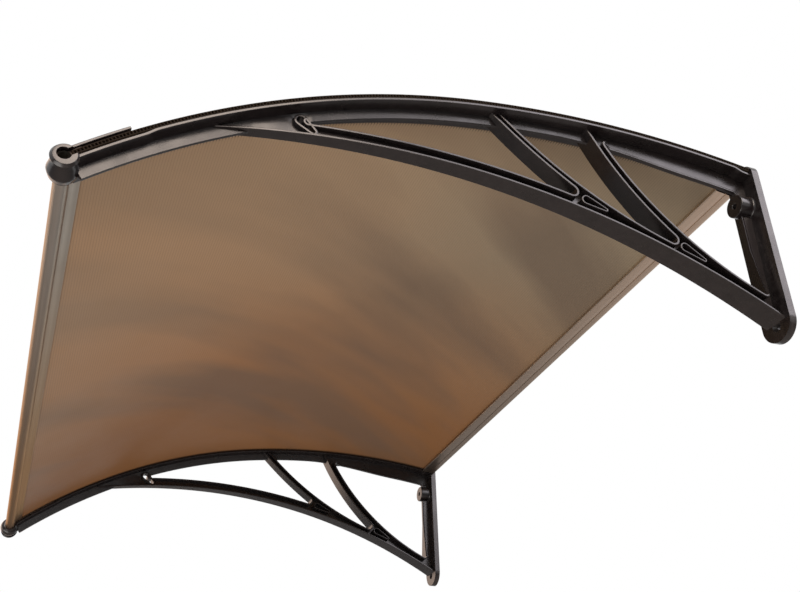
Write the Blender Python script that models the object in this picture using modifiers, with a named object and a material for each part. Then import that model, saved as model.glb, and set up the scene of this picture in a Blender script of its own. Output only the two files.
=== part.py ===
# Door canopy: a curved twin-wall sheet carried by two moulded wall brackets, with an aluminium
# bar along its front edge and another along its rear edge.
# Metres, +Z up. The wall is the plane y = 0, the canopy reaches out along -Y, x = 0 is the middle
# of its width, and z = 0 is the level of the lowest points of the two wall plates.

import bpy
import bmesh
from math import asin, atan2, cos, hypot, pi, sin, sqrt
from mathutils import Matrix

# Overall layout
BRACKET_SPACING = 1.000
SOCKET_REACH = 0.7640
GAP = 0.0003
HOLE_PLAY = 0.0003

# Line of the bracket's top flange: two arcs that join smoothly, seen from the side
CROWN_Y = -0.1885
CROWN_Z = 0.2333
REAR_RADIUS = 1.152
FRONT_RADIUS = 0.8165
RADIUS_CHANGE_Y = -0.3577

# Top flange and the stem under it
FLANGE_WIDTH = 0.038
FLANGE_THICKNESS = 0.003
FRONT_DIP = 0.0015
FRONT_DIP_RUN = 0.0604
WALL_DIP = 0.0032
WALL_DIP_Y = -0.030
DIP_RUN = 0.012
STEM_DEPTH_FRONT = 0.0115
STEM_DEPTH_WALL = 0.0240
STEM_TAPER_START_Y = -0.260
STEM_TAPER_END_Y = -0.080
STEM_LAP = 0.0004
WEB_THICKNESS = 0.0034

# Lower arc of the bracket
LOWER_CROWN_Y = -0.455
LOWER_CROWN_Z = 0.1397
LOWER_RADIUS = 0.900
LOWER_TIP_Y = -0.640
LOWER_DEPTH_FRONT = 0.0150
LOWER_DEPTH_WALL = 0.0125

# Rims that edge the lower arc, the struts and the openings, wider towards the wall
RIM_THICKNESS = 0.0026
RIM_HALF_WIDTH_WALL = 0.0157
RIM_HALF_WIDTH_TIP = 0.0059
RIM_STEP = 0.0003

# Struts: where the front face leaves the top flange, where it reaches the lower arc, and its radius;
# then the same for the rear face
STRUT_1_FRONT_HEAD_Y = -0.3450
STRUT_1_FRONT_FOOT_Y = -0.2050
STRUT_1_FRONT_RADIUS = 0.624
STRUT_1_REAR_HEAD_Y = -0.3330
STRUT_1_REAR_FOOT_Y = -0.1080
STRUT_1_REAR_RADIUS = 0.500
STRUT_2_FRONT_HEAD_Y = -0.2262
STRUT_2_FRONT_FOOT_Y = -0.0930
STRUT_2_FRONT_RADIUS = 0.4058
STRUT_2_REAR_HEAD_Y = -0.2140
STRUT_2_REAR_FOOT_Z = 0.0400
STRUT_2_REAR_RADIUS = 0.3947
TIP_ROUNDING = 0.0030
FOOT_ROUNDING = 0.0040
CORNER_ROUNDING = 0.0040

# Small features in the lower arc
TEARDROP_TOP_Y = -0.5605
TEARDROP_TOP_DROP = 0.0118
TEARDROP_TOP_RADIUS = 0.0048
TEARDROP_TIP_Y = -0.5425
TEARDROP_TIP_RISE = 0.0055
TEARDROP_TIP_RADIUS = 0.0018
EYE_LENGTH = 0.0265
EYE_WIDTH = 0.0125
EYE_1_Y = -0.2290
EYE_1_RISE = 0.0140
EYE_2_Y = -0.1130
EYE_2_RISE = 0.0130
EYE_TURN = -0.180

# Wall plate, with its upper boss and lower screw hole
PLATE_HEIGHT = 0.233
PLATE_WIDTH = 0.045
PLATE_THICKNESS = 0.009
PLATE_TOP_ROUNDING = 0.015
PLATE_EDGE_ROUNDING = 0.0018
RIB_DEPTH = 0.013
BOSS_Z = 0.178
BOSS_RADIUS = 0.014
BOSS_LENGTH = 0.018
BOSS_EDGE_ROUNDING = 0.0010
FIXING_HOLE_RADIUS = 0.0035
LOWER_HOLE_Z = 0.0185
COUNTERSINK_RADIUS = 0.0065
COUNTERSINK_DEPTH = 0.0030

# Twin-wall sheet
SHEET_THICKNESS = 0.004
SHEET_SKIN = 0.0005
FLUTE_WALL = 0.0006
FLUTE_PITCH = 0.0075

# Front bar: a tube that carries a channel for the sheet's front edge, level with its axis
TUBE_RADIUS = 0.0072
BAR_WALL = 0.0011
CHANNEL_REACH = 0.011
CHANNEL_FLOOR = 0.0012

# Socket at the bracket's front end, which holds the end of the front bar
SOCKET_RADIUS = 0.0145
SOCKET_RING_RADIUS = 0.0112
SOCKET_NECK_RADIUS = 0.0104
SOCKET_INNER_RADIUS = 0.0100
SOCKET_COLLAR_RADIUS = 0.0116
SOCKET_OUTER_LENGTH = 0.0215
SOCKET_INNER_LENGTH = 0.0130
SOCKET_RING_WIDTH = 0.0035
SOCKET_NOTCH_WIDTH = 0.0022
SOCKET_NOTCH_SLOPE = 0.0006
SOCKET_BAND_WIDTH = 0.0050
SOCKET_SWELL_LENGTH = 0.0075
SOCKET_COLLAR_STEP = 0.0010
SOCKET_SLEEVE_LENGTH = 0.0025
BAR_END_RECESS = 0.0040
LIP_THICKNESS = 0.0028
LIP_REACH = 0.0600

# Rear bar: a hollow section below and behind the sheet's rear edge, with a lip over the edge
REAR_BAR_DEPTH = 0.0245
REAR_BAR_DROP = 0.0042
REAR_BAR_BACK = 0.0080
REAR_GROOVE_WIDTH = 0.0012
REAR_GROOVE_DEPTH = 0.0010
REAR_GROOVE_FROM_BACK = 0.0100

# Screws that hold the sheet down, with sealing washers
SCREWS_PER_BRACKET = 4
FIRST_SCREW = 0.110
LAST_SCREW = 0.720
SCREW_SIDE_STEP = 0.0100
SHANK_RADIUS = 0.0017
SCREW_HEAD_RADIUS = 0.0045
SCREW_HEAD_HEIGHT = 0.0026
SCREW_CROWN_RADIUS = 0.0027
SCREW_CROWN_DROP = 0.0002
SCREW_RIM_HEIGHT = 0.0008
RECESS_WIDTH = 0.0012
RECESS_LENGTH = 0.0042
RECESS_DEPTH = 0.0012
WASHER_RADIUS = 0.0075
WASHER_THICKNESS = 0.0018
WASHER_TOP_RADIUS = 0.0056
WASHER_RIM_HEIGHT = 0.0008

# How finely curves are drawn
ARC_STEP = 0.022
FINE_STEP = 0.006
ROUND_SIDES = 24
HOLE_SIDES = 16
SCREW_SIDES = 12

# Turns a profile drawn in the side plane, (y, z), so that its thickness runs along X
SIDE_PLANE = Matrix(((0, 0, 1, 0), (1, 0, 0, 0), (0, 1, 0, 0), (0, 0, 0, 1)))
# Turns a profile drawn in the wall plane, (x, z), so that its thickness runs along Y
WALL_PLANE = Matrix(((1, 0, 0, 0), (0, 0, -1, 0), (0, 1, 0, 0), (0, 0, 0, 1)))


def clear_scene():
    for item in list(bpy.data.objects):
        bpy.data.objects.remove(item, do_unlink=True)


def new_collection(name):
    collection = bpy.data.collections.new(name)
    bpy.context.scene.collection.children.link(collection)
    return collection


def new_material(name, colour, roughness, metallic=0.0, alpha=1.0):
    material = bpy.data.materials.new(name)
    material.use_nodes = True
    shader = material.node_tree.nodes["Principled BSDF"]
    shader.inputs["Base Color"].default_value = (*colour, 1.0)
    shader.inputs["Roughness"].default_value = roughness
    shader.inputs["Metallic"].default_value = metallic
    shader.inputs["Alpha"].default_value = alpha
    return material


# Lines in the side plane. Each is a list of (y, z) points.

def arc_at(y):
    # Distance along the flange line from its crown to the depth y, positive towards the wall
    change = REAR_RADIUS * asin((RADIUS_CHANGE_Y - CROWN_Y) / REAR_RADIUS)
    if y >= RADIUS_CHANGE_Y:
        return REAR_RADIUS * asin((y - CROWN_Y) / REAR_RADIUS)
    start = change / REAR_RADIUS
    centre_y = RADIUS_CHANGE_Y - FRONT_RADIUS * sin(start)
    return change + FRONT_RADIUS * (asin((y - centre_y) / FRONT_RADIUS) - start)


def flange_angle(arc):
    change = REAR_RADIUS * asin((RADIUS_CHANGE_Y - CROWN_Y) / REAR_RADIUS)
    if arc >= change:
        return arc / REAR_RADIUS
    return change / REAR_RADIUS + (arc - change) / FRONT_RADIUS


def flange_point(arc, lift=0.0):
    # Point beside the flange line, lift metres above it
    change = REAR_RADIUS * asin((RADIUS_CHANGE_Y - CROWN_Y) / REAR_RADIUS)
    angle = flange_angle(arc)
    centre_y = CROWN_Y
    centre_z = CROWN_Z - REAR_RADIUS
    radius = REAR_RADIUS
    if arc < change:
        start = change / REAR_RADIUS
        centre_y += (REAR_RADIUS - FRONT_RADIUS) * sin(start)
        centre_z += (REAR_RADIUS - FRONT_RADIUS) * cos(start)
        radius = FRONT_RADIUS
    return (centre_y + (radius + lift) * sin(angle), centre_z + (radius + lift) * cos(angle))


def spread(first, last, step):
    count = max(1, round(abs(last - first) / step))
    return [first + (last - first) * i / count for i in range(count + 1)]


def flange_line(first, last, lift=0.0, step=ARC_STEP):
    # lift is a number, or a function of the depth y
    points = []
    for arc in spread(first, last, step):
        height = lift(flange_point(arc)[0]) if callable(lift) else lift
        points.append(flange_point(arc, height))
    return points


def blend(value, start, end):
    share = min(1.0, max(0.0, (value - start) / (end - start)))
    return share * share * (3.0 - 2.0 * share)


def flange_dip(y):
    # The flange steps down for the front bar's lower lip, and curls down at the wall plate
    front = FRONT_DIP * (1.0 - blend(y, FRONT_DIP_Y, FRONT_DIP_Y + DIP_RUN))
    wall = WALL_DIP * blend(y, WALL_DIP_Y, WALL_DIP_Y + DIP_RUN)
    return -front - wall


def stem_lift(y):
    share = blend(y, STEM_TAPER_START_Y, STEM_TAPER_END_Y)
    return -(STEM_DEPTH_FRONT + (STEM_DEPTH_WALL - STEM_DEPTH_FRONT) * share)


def lower_point(y, rise=0.0):
    angle = asin((y - LOWER_CROWN_Y) / LOWER_RADIUS)
    radius = LOWER_RADIUS + rise
    return (LOWER_CROWN_Y + radius * sin(angle), LOWER_CROWN_Z - LOWER_RADIUS + radius * cos(angle))


def lower_line(first, last, rise=0.0, step=ARC_STEP):
    points = []
    for y in spread(first, last, step):
        height = rise(y) if callable(rise) else rise
        points.append(lower_point(y, height))
    return points


def lower_depth(y):
    share = (y - LOWER_TIP_Y) / -LOWER_TIP_Y
    return LOWER_DEPTH_FRONT + (LOWER_DEPTH_WALL - LOWER_DEPTH_FRONT) * share


def arc_between(start, end, radius, step=ARC_STEP):
    # Arc from start to end that bulges down and forward, for a strut's face
    dy = end[0] - start[0]
    dz = end[1] - start[1]
    chord = hypot(dy, dz)
    reach = sqrt(radius * radius - chord * chord / 4.0)
    centre_y = (start[0] + end[0]) / 2.0 - dz / chord * reach
    centre_z = (start[1] + end[1]) / 2.0 + dy / chord * reach
    first = atan2(start[1] - centre_z, start[0] - centre_y)
    last = atan2(end[1] - centre_z, end[0] - centre_y)
    if last < first:
        last += 2.0 * pi
    return [(centre_y + radius * cos(angle), centre_z + radius * sin(angle))
            for angle in spread(first, last, step / radius)]


def offset(line, distance):
    # The line moved to the left of its direction of travel, point by point
    moved = []
    for i, (y, z) in enumerate(line):
        before = line[max(i - 1, 0)]
        after = line[min(i + 1, len(line) - 1)]
        dy = after[0] - before[0]
        dz = after[1] - before[1]
        length = hypot(dy, dz)
        moved.append((y - dz / length * distance, z + dy / length * distance))
    return moved


def offset_loop(loop, distance):
    # A closed loop moved outwards, for a loop that runs anticlockwise
    moved = []
    for i, (y, z) in enumerate(loop):
        before = loop[i - 1]
        after = loop[(i + 1) % len(loop)]
        dy = after[0] - before[0]
        dz = after[1] - before[1]
        length = hypot(dy, dz)
        moved.append((y + dz / length * distance, z - dy / length * distance))
    return moved


def crossing(first, second):
    # The last crossing along the first line: segment and share on each line, and the point
    for i in reversed(range(len(first) - 1)):
        for j in range(len(second) - 1):
            ay, az = first[i]
            by, bz = first[i + 1][0] - ay, first[i + 1][1] - az
            cy, cz = second[j]
            dy, dz = second[j + 1][0] - cy, second[j + 1][1] - cz
            cross = by * dz - bz * dy
            if cross == 0.0:
                continue
            s = ((cy - ay) * dz - (cz - az) * dy) / cross
            t = ((cy - ay) * bz - (cz - az) * by) / cross
            if 0.0 <= s <= 1.0 and 0.0 <= t <= 1.0:
                return (i, s), (j, t), (ay + by * s, az + bz * s)
    raise ValueError("these two lines don't meet")


def along(line, place):
    i, share = place
    (ay, az), (by, bz) = line[i], line[i + 1]
    return (ay + (by - ay) * share, az + (bz - az) * share)


def stretch(line, start, end):
    # The part of a line between two places on it
    points = [along(line, start)]
    points += line[start[0] + 1:end[0] + 1]
    points.append(along(line, end))
    return points


def rounding(first, second, radius):
    # Rounds the left-hand corner between two lines: where each is cut, and the arc's points
    place_a, place_b, centre = crossing(offset(first, radius), offset(second, radius))
    start = along(first, place_a)
    end = along(second, place_b)
    a = atan2(start[1] - centre[1], start[0] - centre[0])
    b = atan2(end[1] - centre[1], end[0] - centre[0])
    if b < a:
        b += 2.0 * pi
    arc = [(centre[0] + radius * cos(t), centre[1] + radius * sin(t)) for t in spread(a, b, pi / 6)]
    return place_a, place_b, arc[1:-1]


def rounded_loop(lines, radii):
    # Closed loop from lines that follow each other anticlockwise; radii[i] rounds the end of lines[i]
    corners = [rounding(lines[i], lines[(i + 1) % len(lines)], radii[i]) for i in range(len(lines))]
    points = []
    for i, line in enumerate(lines):
        points += stretch(line, corners[i - 1][1], corners[i][0]) + corners[i][2]
    return points


def oval(centre, length, width, turn, sides=HOLE_SIDES):
    points = []
    for i in range(sides):
        angle = 2.0 * pi * i / sides
        u = length / 2.0 * cos(angle)
        v = width / 2.0 * sin(angle)
        points.append((centre[0] + u * cos(turn) - v * sin(turn), centre[1] + u * sin(turn) + v * cos(turn)))
    return points


def teardrop(grow):
    # Two round ends joined by their outer tangents, anticlockwise
    top = flange_point(arc_at(TEARDROP_TOP_Y), -TEARDROP_TOP_DROP)
    tip = lower_point(TEARDROP_TIP_Y, TEARDROP_TIP_RISE)
    dy = tip[0] - top[0]
    dz = tip[1] - top[1]
    heading = atan2(dz, dy)
    lean = asin((TEARDROP_TOP_RADIUS - TEARDROP_TIP_RADIUS) / hypot(dy, dz))
    points = []
    small = TEARDROP_TIP_RADIUS + grow
    large = TEARDROP_TOP_RADIUS + grow
    for angle in spread(heading - pi / 2.0 + lean, heading + pi / 2.0 - lean, pi / 6):
        points.append((tip[0] + small * cos(angle), tip[1] + small * sin(angle)))
    for angle in spread(heading + pi / 2.0 - lean, heading + 3.0 * pi / 2.0 + lean, pi / 6):
        points.append((top[0] + large * cos(angle), top[1] + large * sin(angle)))
    return points


# Solids

def filled_outline(name, loops, thickness, plane, centre=0.0):
    # A flat outline with holes, as a solid centred on its plane
    curve = bpy.data.curves.new(name, "CURVE")
    curve.dimensions = "2D"
    curve.fill_mode = "BOTH"
    curve.extrude = thickness / 2.0
    for loop in loops:
        spline = curve.splines.new("POLY")
        spline.points.add(len(loop) - 1)
        for point, (u, v) in zip(spline.points, loop):
            point.co = (u, v, 0.0, 1.0)
        spline.use_cyclic_u = True
    item = bpy.data.objects.new(name, curve)
    item.matrix_world = plane @ Matrix.Translation((0.0, 0.0, centre))
    bpy.context.scene.collection.objects.link(item)
    return curve_as_mesh(item)


def curve_as_mesh(item):
    bpy.context.view_layer.update()
    evaluated = item.evaluated_get(bpy.context.evaluated_depsgraph_get())
    mesh = bpy.data.meshes.new_from_object(evaluated)
    mesh.transform(item.matrix_world)
    name = item.name
    curve = item.data
    bpy.data.objects.remove(item)
    bpy.data.curves.remove(curve)
    mesh.name = name
    tidy = bmesh.new()
    tidy.from_mesh(mesh)
    bmesh.ops.remove_doubles(tidy, verts=tidy.verts, dist=1e-6)
    # The fill leaves some needle-thin triangles in its flat faces
    fill = [face for face in tidy.faces if len(face.verts) == 3]
    inner = [edge for edge in tidy.edges if all(len(face.verts) == 3 for face in edge.link_faces)]
    bmesh.ops.beautify_fill(tidy, faces=fill, edges=inner)
    bmesh.ops.recalc_face_normals(tidy, faces=tidy.faces)
    tidy.to_mesh(mesh)
    tidy.free()
    return add_object(name, mesh)


def add_object(name, mesh):
    item = bpy.data.objects.new(name, mesh)
    bpy.context.scene.collection.objects.link(item)
    return item


def turned(name, profile, sides, placing, closed=True):
    # Turns a profile of (radius, height) points about Z; an open one starts and ends on the axis
    mesh = bpy.data.meshes.new(name)
    edges = [(i, i + 1) for i in range(len(profile) - 1)]
    if closed:
        edges.append((len(profile) - 1, 0))
    mesh.from_pydata([(radius, 0.0, height) for radius, height in profile], edges, [])
    item = add_object(name, mesh)
    screw = item.modifiers.new("Turn", "SCREW")
    screw.steps = sides
    screw.render_steps = sides
    screw.use_merge_vertices = True
    screw.merge_threshold = 0.00001
    return solid_from(item, placing)


def solid_from(item, placing):
    # Applies an object's modifiers, then its place
    bpy.context.view_layer.update()
    evaluated = item.evaluated_get(bpy.context.evaluated_depsgraph_get())
    mesh = bpy.data.meshes.new_from_object(evaluated)
    mesh.transform(placing)
    name = item.name
    bpy.data.objects.remove(item)
    tidy = bmesh.new()
    tidy.from_mesh(mesh)
    bmesh.ops.remove_doubles(tidy, verts=tidy.verts, dist=1e-7)
    bmesh.ops.recalc_face_normals(tidy, faces=tidy.faces)
    tidy.to_mesh(mesh)
    tidy.free()
    return add_object(name, mesh)


def cylinder(name, radius, length, placing, sides, end_radius=None):
    # Its axis is Z before placing, and it is centred on its length
    mesh = bpy.data.meshes.new(name)
    shape = bmesh.new()
    far_radius = radius if end_radius is None else end_radius
    bmesh.ops.create_cone(shape, cap_ends=True, segments=sides, radius1=radius, radius2=far_radius,
                          depth=length)
    bmesh.ops.transform(shape, matrix=placing, verts=shape.verts)
    shape.to_mesh(mesh)
    shape.free()
    return add_object(name, mesh)


def combine(item, others, operation):
    # Joins or cuts all the other solids into this one at once, and removes them
    group = bpy.data.collections.new(operation.title())
    for other in others:
        group.objects.link(other)
    step = item.modifiers.new(operation.title(), "BOOLEAN")
    step.operation = operation
    step.solver = "EXACT"
    step.operand_type = "COLLECTION"
    step.collection = group
    bpy.context.view_layer.update()
    evaluated = item.evaluated_get(bpy.context.evaluated_depsgraph_get())
    mesh = bpy.data.meshes.new_from_object(evaluated)
    item.modifiers.clear()
    item.data = mesh
    for other in others:
        bpy.data.objects.remove(other)
    bpy.data.collections.remove(group)
    return item


def round_edges(item, chosen, width, segments):
    shape = bmesh.new()
    shape.from_mesh(item.data)
    edges = [edge for edge in shape.edges if chosen(edge)]
    bmesh.ops.bevel(shape, geom=edges, offset=width, offset_type="OFFSET", segments=segments, profile=0.5,
                    affect="EDGES", material=-1)
    shape.to_mesh(item.data)
    shape.free()


def finish(item, name, collection, material):
    item.name = name
    item.data.name = name
    item.data.materials.clear()
    item.data.materials.append(material)
    item.data.shade_smooth()
    item.data.set_sharp_from_angle(angle=0.6)
    bpy.context.scene.collection.objects.unlink(item)
    collection.objects.link(item)
    return item


def mirrored(item, name):
    # A copy of the piece for the other side
    mesh = item.data.copy()
    shape = bmesh.new()
    shape.from_mesh(mesh)
    bmesh.ops.scale(shape, vec=(-1.0, 1.0, 1.0), verts=shape.verts)
    bmesh.ops.reverse_faces(shape, faces=shape.faces)
    shape.to_mesh(mesh)
    shape.free()
    return add_object(name, mesh)


# Values that several pieces share

FLANGE_TOP = FLANGE_THICKNESS / 2.0
SHEET_UNDERSIDE = FLANGE_TOP + GAP
SHEET_TOP = SHEET_UNDERSIDE + SHEET_THICKNESS
FRONT_DIP_Y = FRONT_DIP_RUN - SOCKET_REACH
SHEET_MIDDLE = SHEET_UNDERSIDE + SHEET_THICKNESS / 2.0
SOCKET_HOLE_RADIUS = TUBE_RADIUS + GAP
SLOT_FLOOR = SHEET_UNDERSIDE - BAR_WALL - 2.0 * GAP
SLOT_ROOF = SHEET_TOP + BAR_WALL + 3.0 * GAP
SOCKET_ARC = arc_at(-SOCKET_REACH)
PLATE_ARC = arc_at(-PLATE_THICKNESS)
CHANNEL_END = TUBE_RADIUS + CHANNEL_REACH
SHEET_FRONT_ARC = SOCKET_ARC + TUBE_RADIUS + CHANNEL_FLOOR
SHEET_REAR_ARC = arc_at(-PLATE_THICKNESS - GAP) - SHEET_TOP * sin(flange_angle(PLATE_ARC))
WEB_X = BRACKET_SPACING / 2.0
SHEET_WIDTH = BRACKET_SPACING + FLANGE_WIDTH


def rim_half_width(y):
    share = (y - LOWER_TIP_Y) / -LOWER_TIP_Y
    return RIM_HALF_WIDTH_TIP + (RIM_HALF_WIDTH_WALL - RIM_HALF_WIDTH_TIP) * share


def rim(name, loops, inset):
    # A rim's width grows in a straight line towards the wall
    item = filled_outline(name, loops, 2.0 * RIM_HALF_WIDTH_WALL, SIDE_PLANE)
    for vertex in item.data.vertices:
        side = 1.0 if vertex.co.x > 0.0 else -1.0
        vertex.co.x = side * (rim_half_width(vertex.co.y) - inset)
    return item


def strut_lines():
    # The faces of both struts as lines, downwards on the rear face and upwards on the front face
    member = lower_depth
    front_1 = arc_between(flange_point(arc_at(STRUT_1_FRONT_HEAD_Y)),
                          lower_point(STRUT_1_FRONT_FOOT_Y, member(STRUT_1_FRONT_FOOT_Y) * 0.5),
                          STRUT_1_FRONT_RADIUS)
    rear_1 = arc_between(flange_point(arc_at(STRUT_1_REAR_HEAD_Y)),
                         lower_point(STRUT_1_REAR_FOOT_Y, member(STRUT_1_REAR_FOOT_Y)),
                         STRUT_1_REAR_RADIUS)
    front_2 = arc_between(flange_point(arc_at(STRUT_2_FRONT_HEAD_Y)),
                          lower_point(STRUT_2_FRONT_FOOT_Y, member(STRUT_2_FRONT_FOOT_Y) * 0.5),
                          STRUT_2_FRONT_RADIUS)
    rear_2 = arc_between(flange_point(arc_at(STRUT_2_REAR_HEAD_Y)),
                         (-PLATE_THICKNESS, STRUT_2_REAR_FOOT_Z), STRUT_2_REAR_RADIUS)
    lines = []
    for line in (front_1, rear_1, front_2, rear_2):
        (ay, az), (by, bz) = line[:2]
        run_on = FLANGE_THICKNESS * 2.0 / hypot(ay - by, az - bz)
        lines.append([(ay + (ay - by) * run_on, az + (az - bz) * run_on)] + line)
    return list(reversed(lines[0])), lines[1], list(reversed(lines[2])), lines[3]


def opening_lines():
    # Three openings, each as lines that follow each other anticlockwise: bottom, far side, stem
    front_1, rear_1, front_2, rear_2 = strut_lines()
    stem = list(reversed(flange_line(arc_at(LOWER_TIP_Y), PLATE_ARC, stem_lift)))
    member = lower_line(LOWER_TIP_Y, STRUT_1_FRONT_FOOT_Y, lower_depth)
    rib_y = -PLATE_THICKNESS - RIB_DEPTH
    rib = [(rib_y, z) for z in (0.0, PLATE_HEIGHT / 2.0, PLATE_HEIGHT)]
    return [member, front_1, stem], [rear_1, front_2, stem], [rear_2, rib, stem]


def web_openings():
    # The web's own openings end inside the rims, and a little below the stem where it has no rim
    lap = RIM_THICKNESS / 2.0
    loops = []
    radii = ((FOOT_ROUNDING, CORNER_ROUNDING, TIP_ROUNDING),
             (FOOT_ROUNDING, CORNER_ROUNDING, CORNER_ROUNDING),
             (CORNER_ROUNDING, CORNER_ROUNDING, CORNER_ROUNDING))
    for number, (bottom, side, stem) in enumerate(opening_lines()):
        stem_step = -lap if number == 2 else STEM_LAP
        lines = [offset(bottom, -lap), offset(side, -lap), offset(stem, stem_step)]
        loops.append(rounded_loop(lines, [radius + lap for radius in radii[number]]))
    return loops


def build_web():
    # The bracket's middle wall, with its openings
    stem = flange_line(SOCKET_ARC + SOCKET_HOLE_RADIUS, arc_at(STRUT_1_FRONT_HEAD_Y), stem_lift)
    lower = lower_line(LOWER_TIP_Y, -PLATE_THICKNESS / 2.0, RIM_THICKNESS / 2.0)
    on_lower, on_stem, meeting = crossing(lower, stem)
    top = list(reversed(flange_line(SOCKET_ARC + SOCKET_HOLE_RADIUS, arc_at(-PLATE_THICKNESS / 2.0),
                                    flange_dip)))
    outline = stem[:on_stem[0] + 1] + [meeting] + lower[on_lower[0] + 1:] + top
    loops = [outline] + web_openings()
    loops.append(teardrop(RIM_THICKNESS / 2.0))
    return filled_outline("web", loops, WEB_THICKNESS, SIDE_PLANE)


def rim_band(run, flange, meets_at_start, meets_at_end):
    # Outline of a rim that follows an opening's edge, with its ends cut off along the flange line
    outer = offset(run, -RIM_THICKNESS)
    sides = []
    for line in (run, outer):
        if meets_at_end:
            line = line[:crossing(line, flange)[0][0] + 1] + [crossing(line, flange)[2]]
        if meets_at_start:
            back = list(reversed(line))
            back = back[:crossing(back, flange)[0][0] + 1] + [crossing(back, flange)[2]]
            line = list(reversed(back))
        sides.append(line)
    return sides[0] + list(reversed(sides[1]))


def build_rims():
    lower = lower_line(LOWER_TIP_Y, -PLATE_THICKNESS / 2.0)
    rims = [rim("lower_rim", [lower + list(reversed(offset(lower, RIM_THICKNESS)))], 0.0)]
    flange = flange_line(SOCKET_ARC, PLATE_ARC)
    (member, front_1, stem), (rear_1, front_2, stem), third = opening_lines()

    tip_end, tip_start, tip_arc = rounding(stem, member, TIP_ROUNDING)
    foot_end, foot_start, foot_arc = rounding(member, front_1, FOOT_ROUNDING)
    run = [along(stem, tip_end)] + tip_arc + stretch(member, tip_start, foot_end) + foot_arc
    run += stretch(front_1, foot_start, (len(front_1) - 2, 1.0))
    rims.append(rim("rim_1", [rim_band(run, flange, False, True)], RIM_STEP))

    foot_end, foot_start, foot_arc = rounding(rear_1, front_2, FOOT_ROUNDING)
    run = stretch(rear_1, (0, 0.0), foot_end) + foot_arc
    run += stretch(front_2, foot_start, (len(front_2) - 2, 1.0))
    rims.append(rim("rim_2", [rim_band(run, flange, True, True)], RIM_STEP))

    loop = rounded_loop(third, [CORNER_ROUNDING] * 3)
    rims.append(rim("rim_3", [offset_loop(loop, RIM_THICKNESS), loop], RIM_STEP))
    rims.append(rim("drop_rim", [teardrop(RIM_THICKNESS), teardrop(0.0)], 2.0 * RIM_STEP))
    for y, rise in ((EYE_1_Y, EYE_1_RISE), (EYE_2_Y, EYE_2_RISE)):
        centre = lower_point(y, rise)
        turn = EYE_TURN - asin((y - LOWER_CROWN_Y) / LOWER_RADIUS)
        inner = oval(centre, EYE_LENGTH - 2.0 * RIM_THICKNESS, EYE_WIDTH - 2.0 * RIM_THICKNESS, turn)
        rims.append(rim("eye_rim", [oval(centre, EYE_LENGTH, EYE_WIDTH, turn), inner], 2.0 * RIM_STEP))
    return rims


def build_flange():
    start = SOCKET_ARC + SOCKET_HOLE_RADIUS + GAP
    front_dip = arc_at(FRONT_DIP_Y)
    wall_dip = arc_at(WALL_DIP_Y)
    middle = flange_line(start, front_dip, flange_dip)
    middle += flange_line(front_dip, front_dip + 1.5 * DIP_RUN, flange_dip, FINE_STEP)[1:]
    middle += flange_line(front_dip + 1.5 * DIP_RUN, wall_dip, flange_dip)[1:]
    middle += flange_line(wall_dip, arc_at(-PLATE_THICKNESS / 2.0), flange_dip, FINE_STEP)[1:]
    top = offset(middle, FLANGE_THICKNESS / 2.0)
    bottom = offset(middle, -FLANGE_THICKNESS / 2.0)
    return filled_outline("flange", [bottom + list(reversed(top))], FLANGE_WIDTH, SIDE_PLANE)


def build_lip():
    # Upper lip of the socket, over the sheet
    start = SOCKET_ARC + TUBE_RADIUS
    lower = flange_line(start, SOCKET_ARC + LIP_REACH, SLOT_ROOF + GAP)
    upper = flange_line(start, SOCKET_ARC + LIP_REACH, SLOT_ROOF + GAP + LIP_THICKNESS)
    return filled_outline("lip", [lower + list(reversed(upper))], FLANGE_WIDTH, SIDE_PLANE)


def along_x(y, z, x=0.0):
    # Places a solid drawn about Z so that its axis runs along X through (y, z)
    turn = Matrix(((0, 0, 1, 0), (1, 0, 0, 0), (0, 1, 0, 0), (0, 0, 0, 1)))
    return Matrix.Translation((x, y, z)) @ turn


def along_y(x, y, z):
    # Places a solid drawn about Z so that its axis runs out from the wall, along -Y
    return Matrix.Translation((x, y, z)) @ WALL_PLANE


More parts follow.
